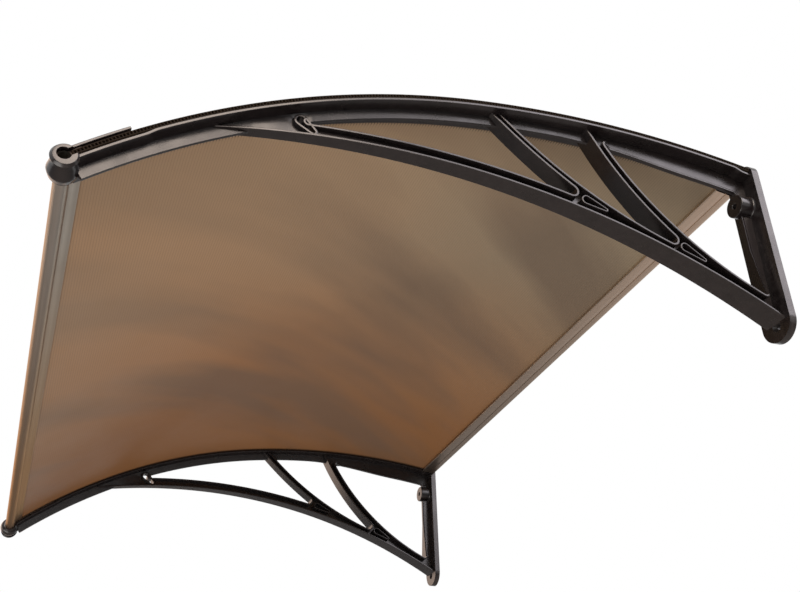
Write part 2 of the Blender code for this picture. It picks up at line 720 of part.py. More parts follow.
def build_socket():
    y, z = flange_point(SOCKET_ARC, SHEET_MIDDLE)
    hole = SOCKET_HOLE_RADIUS
    ring = SOCKET_OUTER_LENGTH - SOCKET_RING_WIDTH
    profile = [
        (hole, SOCKET_OUTER_LENGTH),
        (SOCKET_RING_RADIUS - PLATE_EDGE_ROUNDING / 2.0, SOCKET_OUTER_LENGTH),
        (SOCKET_RING_RADIUS, SOCKET_OUTER_LENGTH - PLATE_EDGE_ROUNDING / 2.0),
        (SOCKET_RING_RADIUS, ring),
        (SOCKET_NECK_RADIUS, ring - SOCKET_NOTCH_SLOPE),
        (SOCKET_NECK_RADIUS, ring - SOCKET_NOTCH_WIDTH + SOCKET_NOTCH_SLOPE),
        (SOCKET_RING_RADIUS, ring - SOCKET_NOTCH_WIDTH),
    ]
    for height in spread(ring - SOCKET_BAND_WIDTH, -SOCKET_SWELL_LENGTH, FINE_STEP):
        share = cos(pi / 2.0 * height / SOCKET_INNER_LENGTH)
        profile.append((SOCKET_RING_RADIUS + (SOCKET_RADIUS - SOCKET_RING_RADIUS) * share, height))
    sleeve = -SOCKET_INNER_LENGTH + SOCKET_SLEEVE_LENGTH
    profile += [
        (SOCKET_COLLAR_RADIUS, -SOCKET_SWELL_LENGTH - SOCKET_COLLAR_STEP),
        (SOCKET_COLLAR_RADIUS, sleeve),
        (SOCKET_INNER_RADIUS, sleeve - SOCKET_COLLAR_STEP),
        (SOCKET_INNER_RADIUS, -SOCKET_INNER_LENGTH),
        (hole, -SOCKET_INNER_LENGTH),
    ]
    socket = turned("socket", profile, ROUND_SIDES, along_x(y, z))
    slot_lower = flange_line(SOCKET_ARC, SOCKET_ARC + 2.0 * SOCKET_RADIUS, SLOT_FLOOR)
    slot_upper = flange_line(SOCKET_ARC, SOCKET_ARC + 2.0 * SOCKET_RADIUS, SLOT_ROOF)
    slot = filled_outline("slot", [slot_lower + list(reversed(slot_upper))],
                          3.0 * (SOCKET_OUTER_LENGTH + SOCKET_INNER_LENGTH), SIDE_PLANE)
    return combine(socket, [slot], "DIFFERENCE")


def build_plate():
    half = PLATE_WIDTH / 2.0
    points = []
    corners = ((-1, half, half, pi), (1, half, half, 1.5 * pi),
               (1, PLATE_HEIGHT - PLATE_TOP_ROUNDING, PLATE_TOP_ROUNDING, 0.0),
               (-1, PLATE_HEIGHT - PLATE_TOP_ROUNDING, PLATE_TOP_ROUNDING, 0.5 * pi))
    for side, z, radius, start in corners:
        for angle in spread(start, start + pi / 2.0, pi / 16.0):
            points.append((side * (half - radius) + radius * cos(angle), z + radius * sin(angle)))
    # The two lower corners share their lowest point
    loop = [point for i, point in enumerate(points) if hypot(point[0] - points[i - 1][0],
                                                             point[1] - points[i - 1][1]) > 1e-6]
    plate = filled_outline("plate", [loop], PLATE_THICKNESS, WALL_PLANE, PLATE_THICKNESS / 2.0)
    front = -PLATE_THICKNESS

    def on_front(edge):
        if any(abs(vertex.co.y - front) > 1e-6 for vertex in edge.verts):
            return False
        return any(abs(face.normal.y) < 0.5 for face in edge.link_faces)

    round_edges(plate, on_front, PLATE_EDGE_ROUNDING, 2)
    return plate


def build_boss():
    length = BOSS_LENGTH + PLATE_THICKNESS / 2.0
    middle = -PLATE_THICKNESS / 2.0 - length / 2.0
    boss = cylinder("boss", BOSS_RADIUS, length, along_y(0.0, middle, BOSS_Z), ROUND_SIDES)
    front = -PLATE_THICKNESS - BOSS_LENGTH

    def on_front(edge):
        return all(abs(vertex.co.y - front) < 1e-5 for vertex in edge.verts)

    round_edges(boss, on_front, BOSS_EDGE_ROUNDING, 2)
    return boss


def build_bracket():
    bracket = build_web()
    others = build_rims() + [build_flange(), build_plate(), build_boss(), build_socket(), build_lip()]
    combine(bracket, others, "UNION")
    through = PLATE_THICKNESS + BOSS_LENGTH
    cuts = [
        cylinder("boss_hole", FIXING_HOLE_RADIUS, 3.0 * through, along_y(0.0, 0.0, BOSS_Z), HOLE_SIDES),
        cylinder("lower_hole", FIXING_HOLE_RADIUS, 4.0 * PLATE_THICKNESS,
                 along_y(0.0, 0.0, LOWER_HOLE_Z), HOLE_SIDES),
        cylinder("countersink", FIXING_HOLE_RADIUS, 2.0 * COUNTERSINK_DEPTH,
                 along_y(0.0, -PLATE_THICKNESS, LOWER_HOLE_Z), HOLE_SIDES,
                 2.0 * COUNTERSINK_RADIUS - FIXING_HOLE_RADIUS),
    ]
    for arc in screw_arcs():
        cuts.append(screw_hole(arc))
    combine(bracket, cuts, "DIFFERENCE")
    bracket.data.transform(Matrix.Translation((WEB_X, 0.0, 0.0)))
    return bracket


def screw_arcs():
    return [SOCKET_ARC + distance for distance in spread_count(FIRST_SCREW, LAST_SCREW, SCREWS_PER_BRACKET)]


def spread_count(first, last, count):
    if count == 1:
        return [(first + last) / 2.0]
    return [first + (last - first) * i / (count - 1) for i in range(count)]


def on_sheet(arc, x, lift):
    # Frame on the flange line whose Z axis points out of the sheet
    y, z = flange_point(arc, lift)
    return Matrix.Translation((x, y, z)) @ Matrix.Rotation(-flange_angle(arc), 4, "X")


def screw_hole(arc, x=-SCREW_SIDE_STEP):
    through = 2.0 * (SHEET_TOP + SHEET_THICKNESS)
    return cylinder("screw_hole", SHANK_RADIUS + HOLE_PLAY, through, on_sheet(arc, x, 0.0), SCREW_SIDES)


def build_screw(name, arc, x):
    seat = SHEET_TOP + GAP + WASHER_THICKNESS + GAP
    tip = -FLANGE_TOP
    profile = [
        (0.0, seat + SCREW_HEAD_HEIGHT),
        (SCREW_CROWN_RADIUS, seat + SCREW_HEAD_HEIGHT - SCREW_CROWN_DROP),
        (SCREW_HEAD_RADIUS, seat + SCREW_RIM_HEIGHT),
        (SCREW_HEAD_RADIUS, seat),
        (SHANK_RADIUS, seat),
        (SHANK_RADIUS, tip + SHANK_RADIUS),
        (0.0, tip),
    ]
    screw = turned(name, profile, SCREW_SIDES, on_sheet(arc, x, 0.0), False)
    near = RECESS_WIDTH / 2.0
    far = RECESS_LENGTH / 2.0
    cross = []
    for quarter in range(4):
        for u, v in ((far, -near), (far, near), (near, near)):
            turn = quarter * pi / 2.0
            cross.append((u * cos(turn) - v * sin(turn), u * sin(turn) + v * cos(turn)))
    recess = filled_outline("recess", [cross], 2.0 * RECESS_DEPTH, on_sheet(arc, x, seat + SCREW_HEAD_HEIGHT))
    return combine(screw, [recess], "DIFFERENCE")


def build_washer(name, arc, x):
    low = SHEET_TOP + GAP
    high = low + WASHER_THICKNESS
    bore = SHANK_RADIUS + HOLE_PLAY
    profile = [
        (bore, high),
        (WASHER_TOP_RADIUS, high),
        (WASHER_RADIUS, low + WASHER_RIM_HEIGHT),
        (WASHER_RADIUS, low),
        (bore, low),
    ]
    return turned(name, profile, SCREW_SIDES, on_sheet(arc, x, 0.0))


def build_sheet():
    flutes = round((SHEET_REAR_ARC - SHEET_FRONT_ARC) / FLUTE_PITCH)
    pitch = (SHEET_REAR_ARC - SHEET_FRONT_ARC) / flutes
    under = [flange_point(SHEET_FRONT_ARC + pitch * i, SHEET_UNDERSIDE) for i in range(flutes + 1)]
    over = [flange_point(SHEET_FRONT_ARC + pitch * i, SHEET_TOP) for i in range(flutes + 1)]
    loops = [under + list(reversed(over))]
    floor = SHEET_UNDERSIDE + SHEET_SKIN
    ceiling = SHEET_TOP - SHEET_SKIN
    for i in range(flutes):
        left = SHEET_FRONT_ARC + pitch * i + FLUTE_WALL / 2.0
        right = left + pitch - FLUTE_WALL
        if i == 0:
            left += FLUTE_WALL / 2.0
        if i == flutes - 1:
            right -= FLUTE_WALL / 2.0
        loops.append([flange_point(left, floor), flange_point(right, floor),
                      flange_point(right, ceiling), flange_point(left, ceiling)])
    sheet = filled_outline("sheet", loops, SHEET_WIDTH, SIDE_PLANE)
    cuts = []
    for side in (1.0, -1.0):
        for arc in screw_arcs():
            cuts.append(screw_hole(arc, side * (WEB_X - SCREW_SIDE_STEP)))
    return combine(sheet, cuts, "DIFFERENCE")


def bar_frame(arc, points, lift=0.0):
    # Points given along and above a place beside the flange line, in the side plane
    angle = flange_angle(arc)
    y0, z0 = flange_point(arc, lift)
    return [(y0 + u * cos(angle) + n * sin(angle), z0 - u * sin(angle) + n * cos(angle)) for u, n in points]


def build_front_bar():
    near = SHEET_THICKNESS / 2.0 + GAP
    far = near + BAR_WALL
    floor = asin(near / TUBE_RADIUS)
    shoulder = asin(far / TUBE_RADIUS)
    points = [(CHANNEL_END, far), (CHANNEL_END, near)]
    for angle in spread(floor, -floor, pi / 16.0):
        points.append((TUBE_RADIUS * cos(angle), TUBE_RADIUS * sin(angle)))
    points += [(CHANNEL_END, -near), (CHANNEL_END, -far)]
    for angle in spread(-shoulder, shoulder - 2.0 * pi, pi / 16.0):
        points.append((TUBE_RADIUS * cos(angle), TUBE_RADIUS * sin(angle)))
    inner = TUBE_RADIUS - BAR_WALL
    hole = []
    for i in range(ROUND_SIDES):
        angle = 2.0 * pi * i / ROUND_SIDES
        hole.append((inner * cos(angle), inner * sin(angle)))
    length = BRACKET_SPACING + 2.0 * (SOCKET_OUTER_LENGTH - BAR_END_RECESS)
    loops = [bar_frame(SOCKET_ARC, loop, SHEET_MIDDLE) for loop in (points, hole)]
    return filled_outline("front_bar", loops, length, SIDE_PLANE)


def build_rear_bar():
    # Drawn from the sheet's rear edge, u towards the wall
    front = REAR_BAR_BACK - REAR_BAR_DEPTH
    bottom = -REAR_BAR_DROP
    seat = SHEET_UNDERSIDE - GAP
    roof = SHEET_TOP + GAP
    top = roof + BAR_WALL
    stop = GAP
    groove = REAR_BAR_BACK - REAR_GROOVE_FROM_BACK
    points = [
        (front, bottom + BAR_WALL), (front + BAR_WALL, bottom),
        (groove - REAR_GROOVE_WIDTH, bottom), (groove - REAR_GROOVE_WIDTH, bottom + REAR_GROOVE_DEPTH),
        (groove, bottom + REAR_GROOVE_DEPTH), (groove, bottom),
        (REAR_BAR_BACK - 2.0 * BAR_WALL, bottom), (REAR_BAR_BACK, bottom + 2.0 * BAR_WALL),
        (REAR_BAR_BACK, top - BAR_WALL), (REAR_BAR_BACK - BAR_WALL, top),
        (front, top), (front, roof), (stop, roof), (stop, seat), (front, seat),
    ]
    split = (stop + BAR_WALL / 2.0, stop + 1.5 * BAR_WALL)
    floor = bottom + REAR_GROOVE_DEPTH + BAR_WALL
    under = [(front + BAR_WALL, floor), (split[0], floor), (split[0], seat - BAR_WALL),
             (front + BAR_WALL, seat - BAR_WALL)]
    ceiling = top - 2.0 * BAR_WALL
    behind = [(split[1], floor), (REAR_BAR_BACK - BAR_WALL, floor),
              (REAR_BAR_BACK - BAR_WALL, ceiling), (split[1], ceiling)]
    length = BRACKET_SPACING - PLATE_WIDTH - 2.0 * GAP
    loops = [bar_frame(SHEET_REAR_ARC, loop) for loop in (points, under, behind)]
    return filled_outline("rear_bar", loops, length, SIDE_PLANE)


def main():
    clear_scene()
    canopy = new_collection("canopy")
    plastic = new_material("moulded_plastic", (0.020, 0.016, 0.015), 0.42)
    sheeting = new_material("bronze_sheet", (0.23, 0.15, 0.09), 0.22, 0.0, 0.80)
    aluminium = new_material("aluminium", (0.50, 0.47, 0.44), 0.38, 1.0)
    steel = new_material("screw_steel", (0.55, 0.55, 0.56), 0.30, 1.0)
    rubber = new_material("washer_rubber", (0.03, 0.03, 0.03), 0.75)

    right = build_bracket()
    left = mirrored(right, "left")
    finish(right, "bracket_right", canopy, plastic)
    finish(left, "bracket_left", canopy, plastic)
    finish(build_sheet(), "roof_sheet", canopy, sheeting)
    finish(build_front_bar(), "front_bar", canopy, aluminium)
    finish(build_rear_bar(), "rear_bar", canopy, aluminium)
    for side, side_name in ((1.0, "right"), (-1.0, "left")):
        x = side * (WEB_X - SCREW_SIDE_STEP)
        for number, arc in enumerate(screw_arcs(), 1):
            screw_name = f"sheet_screw_{side_name}_{number}"
            washer_name = f"washer_{side_name}_{number}"
            finish(build_screw(screw_name, arc, x), screw_name, canopy, steel)
            finish(build_washer(washer_name, arc, x), washer_name, canopy, rubber)


main()
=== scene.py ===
import bpy
import bmesh
from math import asin, atan2, cos, hypot, pi, radians, sin, sqrt
from mathutils import Matrix, Vector


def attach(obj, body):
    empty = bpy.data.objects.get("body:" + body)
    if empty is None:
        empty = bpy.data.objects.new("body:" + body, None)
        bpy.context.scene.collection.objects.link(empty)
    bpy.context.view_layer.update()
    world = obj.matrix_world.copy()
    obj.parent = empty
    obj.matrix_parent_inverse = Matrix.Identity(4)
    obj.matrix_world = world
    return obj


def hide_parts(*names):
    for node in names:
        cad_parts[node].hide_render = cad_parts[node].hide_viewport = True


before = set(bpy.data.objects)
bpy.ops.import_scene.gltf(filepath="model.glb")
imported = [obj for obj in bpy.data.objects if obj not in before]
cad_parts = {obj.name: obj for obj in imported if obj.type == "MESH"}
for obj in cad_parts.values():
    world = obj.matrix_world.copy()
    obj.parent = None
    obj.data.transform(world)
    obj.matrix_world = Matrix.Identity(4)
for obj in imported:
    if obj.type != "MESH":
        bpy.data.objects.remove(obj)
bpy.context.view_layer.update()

# Door awning seen from below. Metres, +Z up, wall at y = 0, awning towards -Y, x = 0 mid-width.

gap = 0.0003          # clearance between pieces that touch
halfSpacing = 0.500   # bracket middle planes sit at x = +- this
curveStep = 0.013     # length of the segments along the big curves
holeSides = 32


def spread(first, last, step):
    count = max(1, round(abs(last - first) / step))
    return [first + (last - first) * i / count for i in range(count + 1)]


def blend(value, start, end):
    share = min(1.0, max(0.0, (value - start) / (end - start)))
    return share * share * (3.0 - 2.0 * share)


# The line of the top flange, seen from the side, which the stem, the sheet and the socket follow.
# Every line here is a list of (y, z) points.
topArc = {
    "crownY": -0.1885, "crownZ": 0.2333,        # highest point of the flange line
    "rearRadius": 1.152, "frontRadius": 0.8165, "changeY": -0.3577,
    "width": 0.038, "thickness": 0.003,         # flange section
    "frontDip": 0.0015, "frontDipY": -0.7036,   # step down for the front bar's lip
    "wallDip": 0.0032, "wallDipY": -0.030, "dipRun": 0.012, "dipStep": 0.003,
    "stemFront": 0.0115, "stemWall": 0.0240,    # depth of the stem below the flange line
    "taperStartY": -0.260, "taperEndY": -0.080,
    "noseDepth": 0.0020, "noseFromY": -0.63, "noseToY": -0.56,   # the stem's extra depth in front
    "stemLap": 0.0004, "webThickness": 0.0034, "webSoftness": 0.0004,
    "draftDepth": 0.0055, "webDraft": 0.0022,   # the web is thicker by this on each side under the flange
    "edgeSoftness": 0.0006,
}


def changeAngle():
    # How far the flange line has turned from its crown where its radius changes
    return asin((topArc["changeY"] - topArc["crownY"]) / topArc["rearRadius"])


def arcAt(y):
    # Distance along the flange line from its crown to the depth y, positive towards the wall
    rear = topArc["rearRadius"]
    front = topArc["frontRadius"]
    if y >= topArc["changeY"]:
        return rear * asin((y - topArc["crownY"]) / rear)
    centreY = topArc["changeY"] - front * sin(changeAngle())
    return rear * changeAngle() + front * (asin((y - centreY) / front) - changeAngle())


def flangeAngle(arc):
    change = topArc["rearRadius"] * changeAngle()
    if arc >= change:
        return arc / topArc["rearRadius"]
    return changeAngle() + (arc - change) / topArc["frontRadius"]


def flangePoint(arc, lift=0.0):
    # Point beside the flange line, lift metres above it
    angle = flangeAngle(arc)
    radius = topArc["rearRadius"]
    centreY = topArc["crownY"]
    centreZ = topArc["crownZ"] - radius
    if angle < changeAngle():
        centreY += (radius - topArc["frontRadius"]) * sin(changeAngle())
        centreZ += (radius - topArc["frontRadius"]) * cos(changeAngle())
        radius = topArc["frontRadius"]
    return (centreY + (radius + lift) * sin(angle), centreZ + (radius + lift) * cos(angle))


def flangeLine(first, last, lift=0.0, step=curveStep):
    # lift is a number, or a function of the depth y
    points = []
    for arc in spread(first, last, step):
        height = lift(flangePoint(arc)[0]) if callable(lift) else lift
        points.append(flangePoint(arc, height))
    return points


def flangeDip(y):
    # The flange steps down for the front bar's lower lip, and curls down at the wall plate
    run = topArc["dipRun"]
    front = topArc["frontDip"] * (1.0 - blend(y, topArc["frontDipY"], topArc["frontDipY"] + run))
    wall = topArc["wallDip"] * blend(y, topArc["wallDipY"], topArc["wallDipY"] + run)
    return -front - wall


def stemLift(y):
    share = blend(y, topArc["taperStartY"], topArc["taperEndY"])
    extra = topArc["noseDepth"] * (1.0 - blend(y, topArc["noseFromY"], topArc["noseToY"]))
    return -(topArc["stemFront"] + extra + (topArc["stemWall"] - topArc["stemFront"]) * share)


lowerArc = {
    "crownY": -0.455, "crownZ": 0.1397, "radius": 0.900,
    "tipY": -0.640, "depthFront": 0.0150, "depthWall": 0.0125,
}


def lowerPoint(y, rise=0.0):
    angle = asin((y - lowerArc["crownY"]) / lowerArc["radius"])
    radius = lowerArc["radius"] + rise
    centreZ = lowerArc["crownZ"] - lowerArc["radius"]
    return (lowerArc["crownY"] + radius * sin(angle), centreZ + radius * cos(angle))


def lowerLine(first, last, rise=0.0, step=curveStep):
    points = []
    for y in spread(first, last, step):
        height = rise(y) if callable(rise) else rise
        points.append(lowerPoint(y, height))
    return points


def lowerDepth(y):
    share = (y - lowerArc["tipY"]) / -lowerArc["tipY"]
    return lowerArc["depthFront"] + (lowerArc["depthWall"] - lowerArc["depthFront"]) * share


# Tools that bend, shift, cut and join lines

def arcBetween(start, end, radius, step=curveStep):
    # Arc from start to end that bulges down and forward, for a strut's face
    dy = end[0] - start[0]
    dz = end[1] - start[1]
    chord = hypot(dy, dz)
    reach = sqrt(radius * radius - chord * chord / 4.0)
    centreY = (start[0] + end[0]) / 2.0 - dz / chord * reach
    centreZ = (start[1] + end[1]) / 2.0 + dy / chord * reach
    first = atan2(start[1] - centreZ, start[0] - centreY)
    last = atan2(end[1] - centreZ, end[0] - centreY)
    if last < first:
        last += 2.0 * pi
    return [(centreY + radius * cos(angle), centreZ + radius * sin(angle))
            for angle in spread(first, last, step / radius)]


def offset(line, distance, closed=False):
    # The line moved to the left of its direction of travel, point by point
    moved = []
    last = len(line) - 1
    for i, (y, z) in enumerate(line):
        before = line[i - 1] if closed else line[max(i - 1, 0)]
        after = line[(i + 1) % len(line)] if closed else line[min(i + 1, last)]
        dy = after[0] - before[0]
        dz = after[1] - before[1]
        length = hypot(dy, dz)
        moved.append((y - dz / length * distance, z + dy / length * distance))
    return moved


def crossing(first, second):
    # The last crossing along the first line: segment and share on each line, and the point
    for i in reversed(range(len(first) - 1)):
        for j in range(len(second) - 1):
            ay, az = first[i]
            by, bz = first[i + 1][0] - ay, first[i + 1][1] - az
            cy, cz = second[j]
            dy, dz = second[j + 1][0] - cy, second[j + 1][1] - cz
            cross = by * dz - bz * dy
            if cross == 0.0:
                continue
            s = ((cy - ay) * dz - (cz - az) * dy) / cross
            t = ((cy - ay) * bz - (cz - az) * by) / cross
            if 0.0 <= s <= 1.0 and 0.0 <= t <= 1.0:
                return (i, s), (j, t), (ay + by * s, az + bz * s)
    raise ValueError("these two lines don't meet")


def along(line, place):
    i, share = place
    (ay, az), (by, bz) = line[i], line[i + 1]
    return (ay + (by - ay) * share, az + (bz - az) * share)


def stretch(line, start, end):
    # The part of a line between two places on it
    points = [along(line, start)]
    points += line[start[0] + 1:end[0] + 1]
    points.append(along(line, end))
    return points


def rounding(first, second, radius):
    # Rounds the left-hand corner between two lines: where each is cut, and the arc's points
    placeA, placeB, centre = crossing(offset(first, radius), offset(second, radius))
    start = along(first, placeA)
    end = along(second, placeB)
    a = atan2(start[1] - centre[1], start[0] - centre[0])
    b = atan2(end[1] - centre[1], end[0] - centre[0])
    if b < a:
        b += 2.0 * pi
    arc = [(centre[0] + radius * cos(t), centre[1] + radius * sin(t)) for t in spread(a, b, pi / 12.0)]
    return placeA, placeB, arc[1:-1]


def roundedLoop(lines, radii):
    # Closed loop from lines that follow each other anticlockwise; radii[i] rounds the end of lines[i]
    corners = [rounding(lines[i], lines[(i + 1) % len(lines)], radii[i]) for i in range(len(lines))]
    points = []
    for i, line in enumerate(lines):
        points += stretch(line, corners[i - 1][1], corners[i][0]) + corners[i][2]
    return points


def pearLoop(large, largeRadius, small, smallRadius):
    # Two round ends joined by their outer tangents, anticlockwise
    dy = small[0] - large[0]
    dz = small[1] - large[1]
    heading = atan2(dz, dy)
    lean = asin((largeRadius - smallRadius) / hypot(dy, dz))
    points = []
    for angle in spread(heading - pi / 2.0 + lean, heading + pi / 2.0 - lean, pi / 12.0):
        points.append((small[0] + smallRadius * cos(angle), small[1] + smallRadius * sin(angle)))
    for angle in spread(heading + pi / 2.0 - lean, heading + 3.0 * pi / 2.0 + lean, pi / 12.0):
        points.append((large[0] + largeRadius * cos(angle), large[1] + largeRadius * sin(angle)))
    return points


struts = {
    "firstFrontHeadY": -0.3450, "firstFrontFootY": -0.2050, "firstFrontRadius": 0.624,
    "firstRearHeadY": -0.3330, "firstRearFootY": -0.1080, "firstRearRadius": 0.500,
    "secondFrontHeadY": -0.2262, "secondFrontFootY": -0.0930, "secondFrontRadius": 0.4058,
    "secondRearHeadY": -0.2140, "secondRearFootZ": 0.0400, "secondRearRadius": 0.3947,
    "tipRounding": 0.0030, "footRounding": 0.0058, "cornerRounding": 0.0040,
}


def strutLines():
    # The faces of both struts as lines, downwards on the rear face and upwards on the front face
    feet = {}
    for face, sunk in (("firstFront", 0.5), ("firstRear", 1.0), ("secondFront", 0.5)):
        y = struts[face + "FootY"]
        feet[face] = lowerPoint(y, lowerDepth(y) * sunk)
    feet["secondRear"] = (-plate["thickness"], struts["secondRearFootZ"])
    lines = []
    for face, foot in feet.items():
        line = arcBetween(flangePoint(arcAt(struts[face + "HeadY"])), foot, struts[face + "Radius"])
        (ay, az), (by, bz) = line[:2]
        runOn = topArc["thickness"] * 2.0 / hypot(ay - by, az - bz)
        lines.append([(ay + (ay - by) * runOn, az + (az - bz) * runOn)] + line)
    return list(reversed(lines[0])), lines[1], list(reversed(lines[2])), lines[3]


def openingLines():
    # Three openings, each as lines that follow each other anticlockwise: bottom, far side, stem
    front1, rear1, front2, rear2 = strutLines()
    stem = list(reversed(flangeLine(arcAt(lowerArc["tipY"]), plateArc, stemLift)))
    member = lowerLine(lowerArc["tipY"], struts["firstFrontFootY"], lowerDepth)
    ribY = -plate["thickness"] - plate["ribDepth"]
    rib = [(ribY, z) for z in (0.0, plate["height"] / 2.0, plate["height"])]
    return [member, front1, stem], [rear1, front2, stem], [rear2, rib, stem]


def webOpenings():
    # The web's own openings end inside the rims, and a little below the stem where it has no rim
    lap = rims["thickness"] / 2.0
    loops = []
    radii = ((struts["footRounding"], struts["cornerRounding"], struts["tipRounding"]),
             (struts["footRounding"], struts["cornerRounding"], struts["cornerRounding"]),
             (struts["cornerRounding"], struts["cornerRounding"], struts["cornerRounding"]))
    for number, (bottom, side, stem) in enumerate(openingLines()):
        stemStep = -lap if number == 2 else topArc["stemLap"]
        lines = [offset(bottom, -lap), offset(side, -lap), offset(stem, stemStep)]
        loops.append(roundedLoop(lines, [radius + lap for radius in radii[number]]))
    return loops


drop = {
    "topY": -0.5605, "topDrop": 0.0118, "topRadius": 0.0048,
    "tipY": -0.5425, "tipRise": 0.0055, "tipRadius": 0.0018,
}


def teardrop(grow):
    top = flangePoint(arcAt(drop["topY"]), -drop["topDrop"])
    tip = lowerPoint(drop["tipY"], drop["tipRise"])
    return pearLoop(top, drop["topRadius"] + grow, tip, drop["tipRadius"] + grow)


# From lines to meshes

def stripMesh(lineA, lineB, closed=False):
    bm = bmesh.new()
    edges = []
    for line in (lineA, lineB):
        verts = [bm.verts.new((0.0, y, z)) for y, z in line]
        edges += [bm.edges.new(pair) for pair in zip(verts, verts[1:])]
        if closed:
            edges.append(bm.edges.new((verts[-1], verts[0])))
    bmesh.ops.bridge_loops(bm, edges=edges)
    return bm


def filledMesh(loops):
    bm = bmesh.new()
    edges = []
    for loop in loops:
        verts = [bm.verts.new((0.0, y, z)) for y, z in loop]
        edges += [bm.edges.new((verts[i - 1], verts[i])) for i in range(len(verts))]
    bmesh.ops.triangle_fill(bm, edges=edges, use_beauty=True, use_dissolve=False, normal=(1.0, 0.0, 0.0))
    return bm


def thicken(bm, width, axis=(1.0, 0.0, 0.0)):
    # Extrudes a flat shape by its width and centres it on its plane
    step = Vector(axis) * width
    made = bmesh.ops.extrude_face_region(bm, geom=bm.faces[:])["geom"]
    bmesh.ops.translate(bm, vec=step, verts=[item for item in made if isinstance(item, bmesh.types.BMVert)])
    bmesh.ops.translate(bm, vec=-step / 2.0, verts=bm.verts)
    bmesh.ops.recalc_face_normals(bm, faces=bm.faces)


def softenEdges(bm, width, segments=2, chosen=None):
    sharp = [edge for edge in bm.edges if len(edge.link_faces) == 2 and edge.calc_face_angle() > 0.75]
    if chosen:
        sharp = [edge for edge in sharp if chosen(edge)]
    bmesh.ops.bevel(bm, geom=sharp, offset=width, offset_type="OFFSET", segments=segments, profile=0.5,
                    affect="EDGES", material=-1, clamp_overlap=True)


def spunMesh(profile, steps, matrix):
    # Closed profile of (radius, height) points spun about Z, then placed
    bm = bmesh.new()
    verts = [bm.verts.new((radius, 0.0, height)) for radius, height in profile]
    edges = [bm.edges.new((verts[i], verts[(i + 1) % len(verts)])) for i in range(len(verts))]
    bmesh.ops.spin(bm, geom=verts + edges, cent=(0, 0, 0), axis=(0, 0, 1), angle=2.0 * pi,
                   steps=steps, use_merge=True)
    bmesh.ops.remove_doubles(bm, verts=bm.verts, dist=1e-6)
    bmesh.ops.transform(bm, matrix=matrix, verts=bm.verts)
    bmesh.ops.recalc_face_normals(bm, faces=bm.faces)
    return bm


def addTo(target, bm):
    # Moves one mesh's shapes into another
    mesh = bpy.data.meshes.new("part")
    bm.to_mesh(mesh)
    bm.free()
    target.from_mesh(mesh)
    bpy.data.meshes.remove(mesh)


def makePiece(name, bm, material, replaced, sharpAngle=40.0):
    mesh = bpy.data.meshes.new(name)
    bm.to_mesh(mesh)
    bm.free()
    mesh.materials.append(material)
    mesh.shade_smooth()
    mesh.set_sharp_from_angle(angle=radians(sharpAngle))
    piece = bpy.data.objects.new(name, mesh)
    bpy.context.scene.collection.objects.link(piece)
    weighted = piece.modifiers.new("evenShading", "WEIGHTED_NORMAL")
    weighted.keep_sharp = True
    weighted.weight = 60
    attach(piece, "root")
    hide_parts(replaced)
    return piece


# Web and flange of the bracket

def webMesh():
    stem = flangeLine(socketArc + socket["holeRadius"], arcAt(struts["firstFrontHeadY"]), stemLift)
    lower = lowerLine(lowerArc["tipY"], -plate["thickness"] / 2.0, rims["thickness"] / 2.0)
    onLower, onStem, meeting = crossing(lower, stem)
    topEnd = arcAt(-plate["thickness"] / 2.0)
    top = list(reversed(flangeLine(socketArc + socket["holeRadius"], topEnd, flangeDip)))
    outline = stem[:onStem[0] + 1] + [meeting] + lower[onLower[0] + 1:] + top
    bm = filledMesh([outline] + webOpenings() + [teardrop(rims["thickness"] / 2.0)])
    thicken(bm, topArc["webThickness"])
    softenEdges(bm, topArc["webSoftness"])
    for vert in bm.verts:
        y, z = flangePoint(arcAt(vert.co.y))
        if z - vert.co.z < topArc["draftDepth"]:
            vert.co.x += topArc["webDraft"] if vert.co.x > 0.0 else -topArc["webDraft"]
    return bm


def flangeMesh():
    start = socketArc + socket["holeRadius"] + gap
    frontDip = arcAt(topArc["frontDipY"])
    wallDip = arcAt(topArc["wallDipY"])
    dipEnd = frontDip + 1.5 * topArc["dipRun"]
    middle = flangeLine(start, frontDip, flangeDip)
    middle += flangeLine(frontDip, dipEnd, flangeDip, topArc["dipStep"])[1:]
    middle += flangeLine(dipEnd, wallDip, flangeDip)[1:]
    middle += flangeLine(wallDip, arcAt(-plate["thickness"] / 2.0), flangeDip, topArc["dipStep"])[1:]
    half = topArc["thickness"] / 2.0
    bm = stripMesh(offset(middle, half), offset(middle, -half))
    thicken(bm, topArc["width"])
    softenEdges(bm, topArc["edgeSoftness"])
    return bm


rims = {
    "thickness": 0.0026, "halfWidthWall": 0.0157, "halfWidthTip": 0.0059,
    "step": 0.0003, "edgeSoftness": 0.0006,
    # The rear opening's rim is wide along the strut only, and little more than the web elsewhere
    "narrowHalfWidth": 0.0027, "narrowFrom": 0.0030, "narrowTo": 0.0100,
}
eyes = {
    "frontRadius": 0.0062, "wallRadius": 0.0027, "wall": 0.0018,
    # For each: depth y and rise above the lower arc of its round front end, then of its narrow wall end
    "places": (((-0.2415, 0.0145), (-0.2190, 0.0120)), ((-0.1265, 0.0140), (-0.1035, 0.0112))),
}


def rimHalfWidth(y):
    share = (y - lowerArc["tipY"]) / -lowerArc["tipY"]
    return rims["halfWidthTip"] + (rims["halfWidthWall"] - rims["halfWidthTip"]) * share


def rimBand(run, flange, meetsAtStart, meetsAtEnd):
    # Outline of a rim that follows an opening's edge, with its ends cut off along the flange line
    outer = offset(run, -rims["thickness"])
    sides = []
    for line in (run, outer):
        if meetsAtEnd:
            line = line[:crossing(line, flange)[0][0] + 1] + [crossing(line, flange)[2]]
        if meetsAtStart:
            back = list(reversed(line))
            back = back[:crossing(back, flange)[0][0] + 1] + [crossing(back, flange)[2]]
            line = list(reversed(back))
        sides.append(line)
    return sides


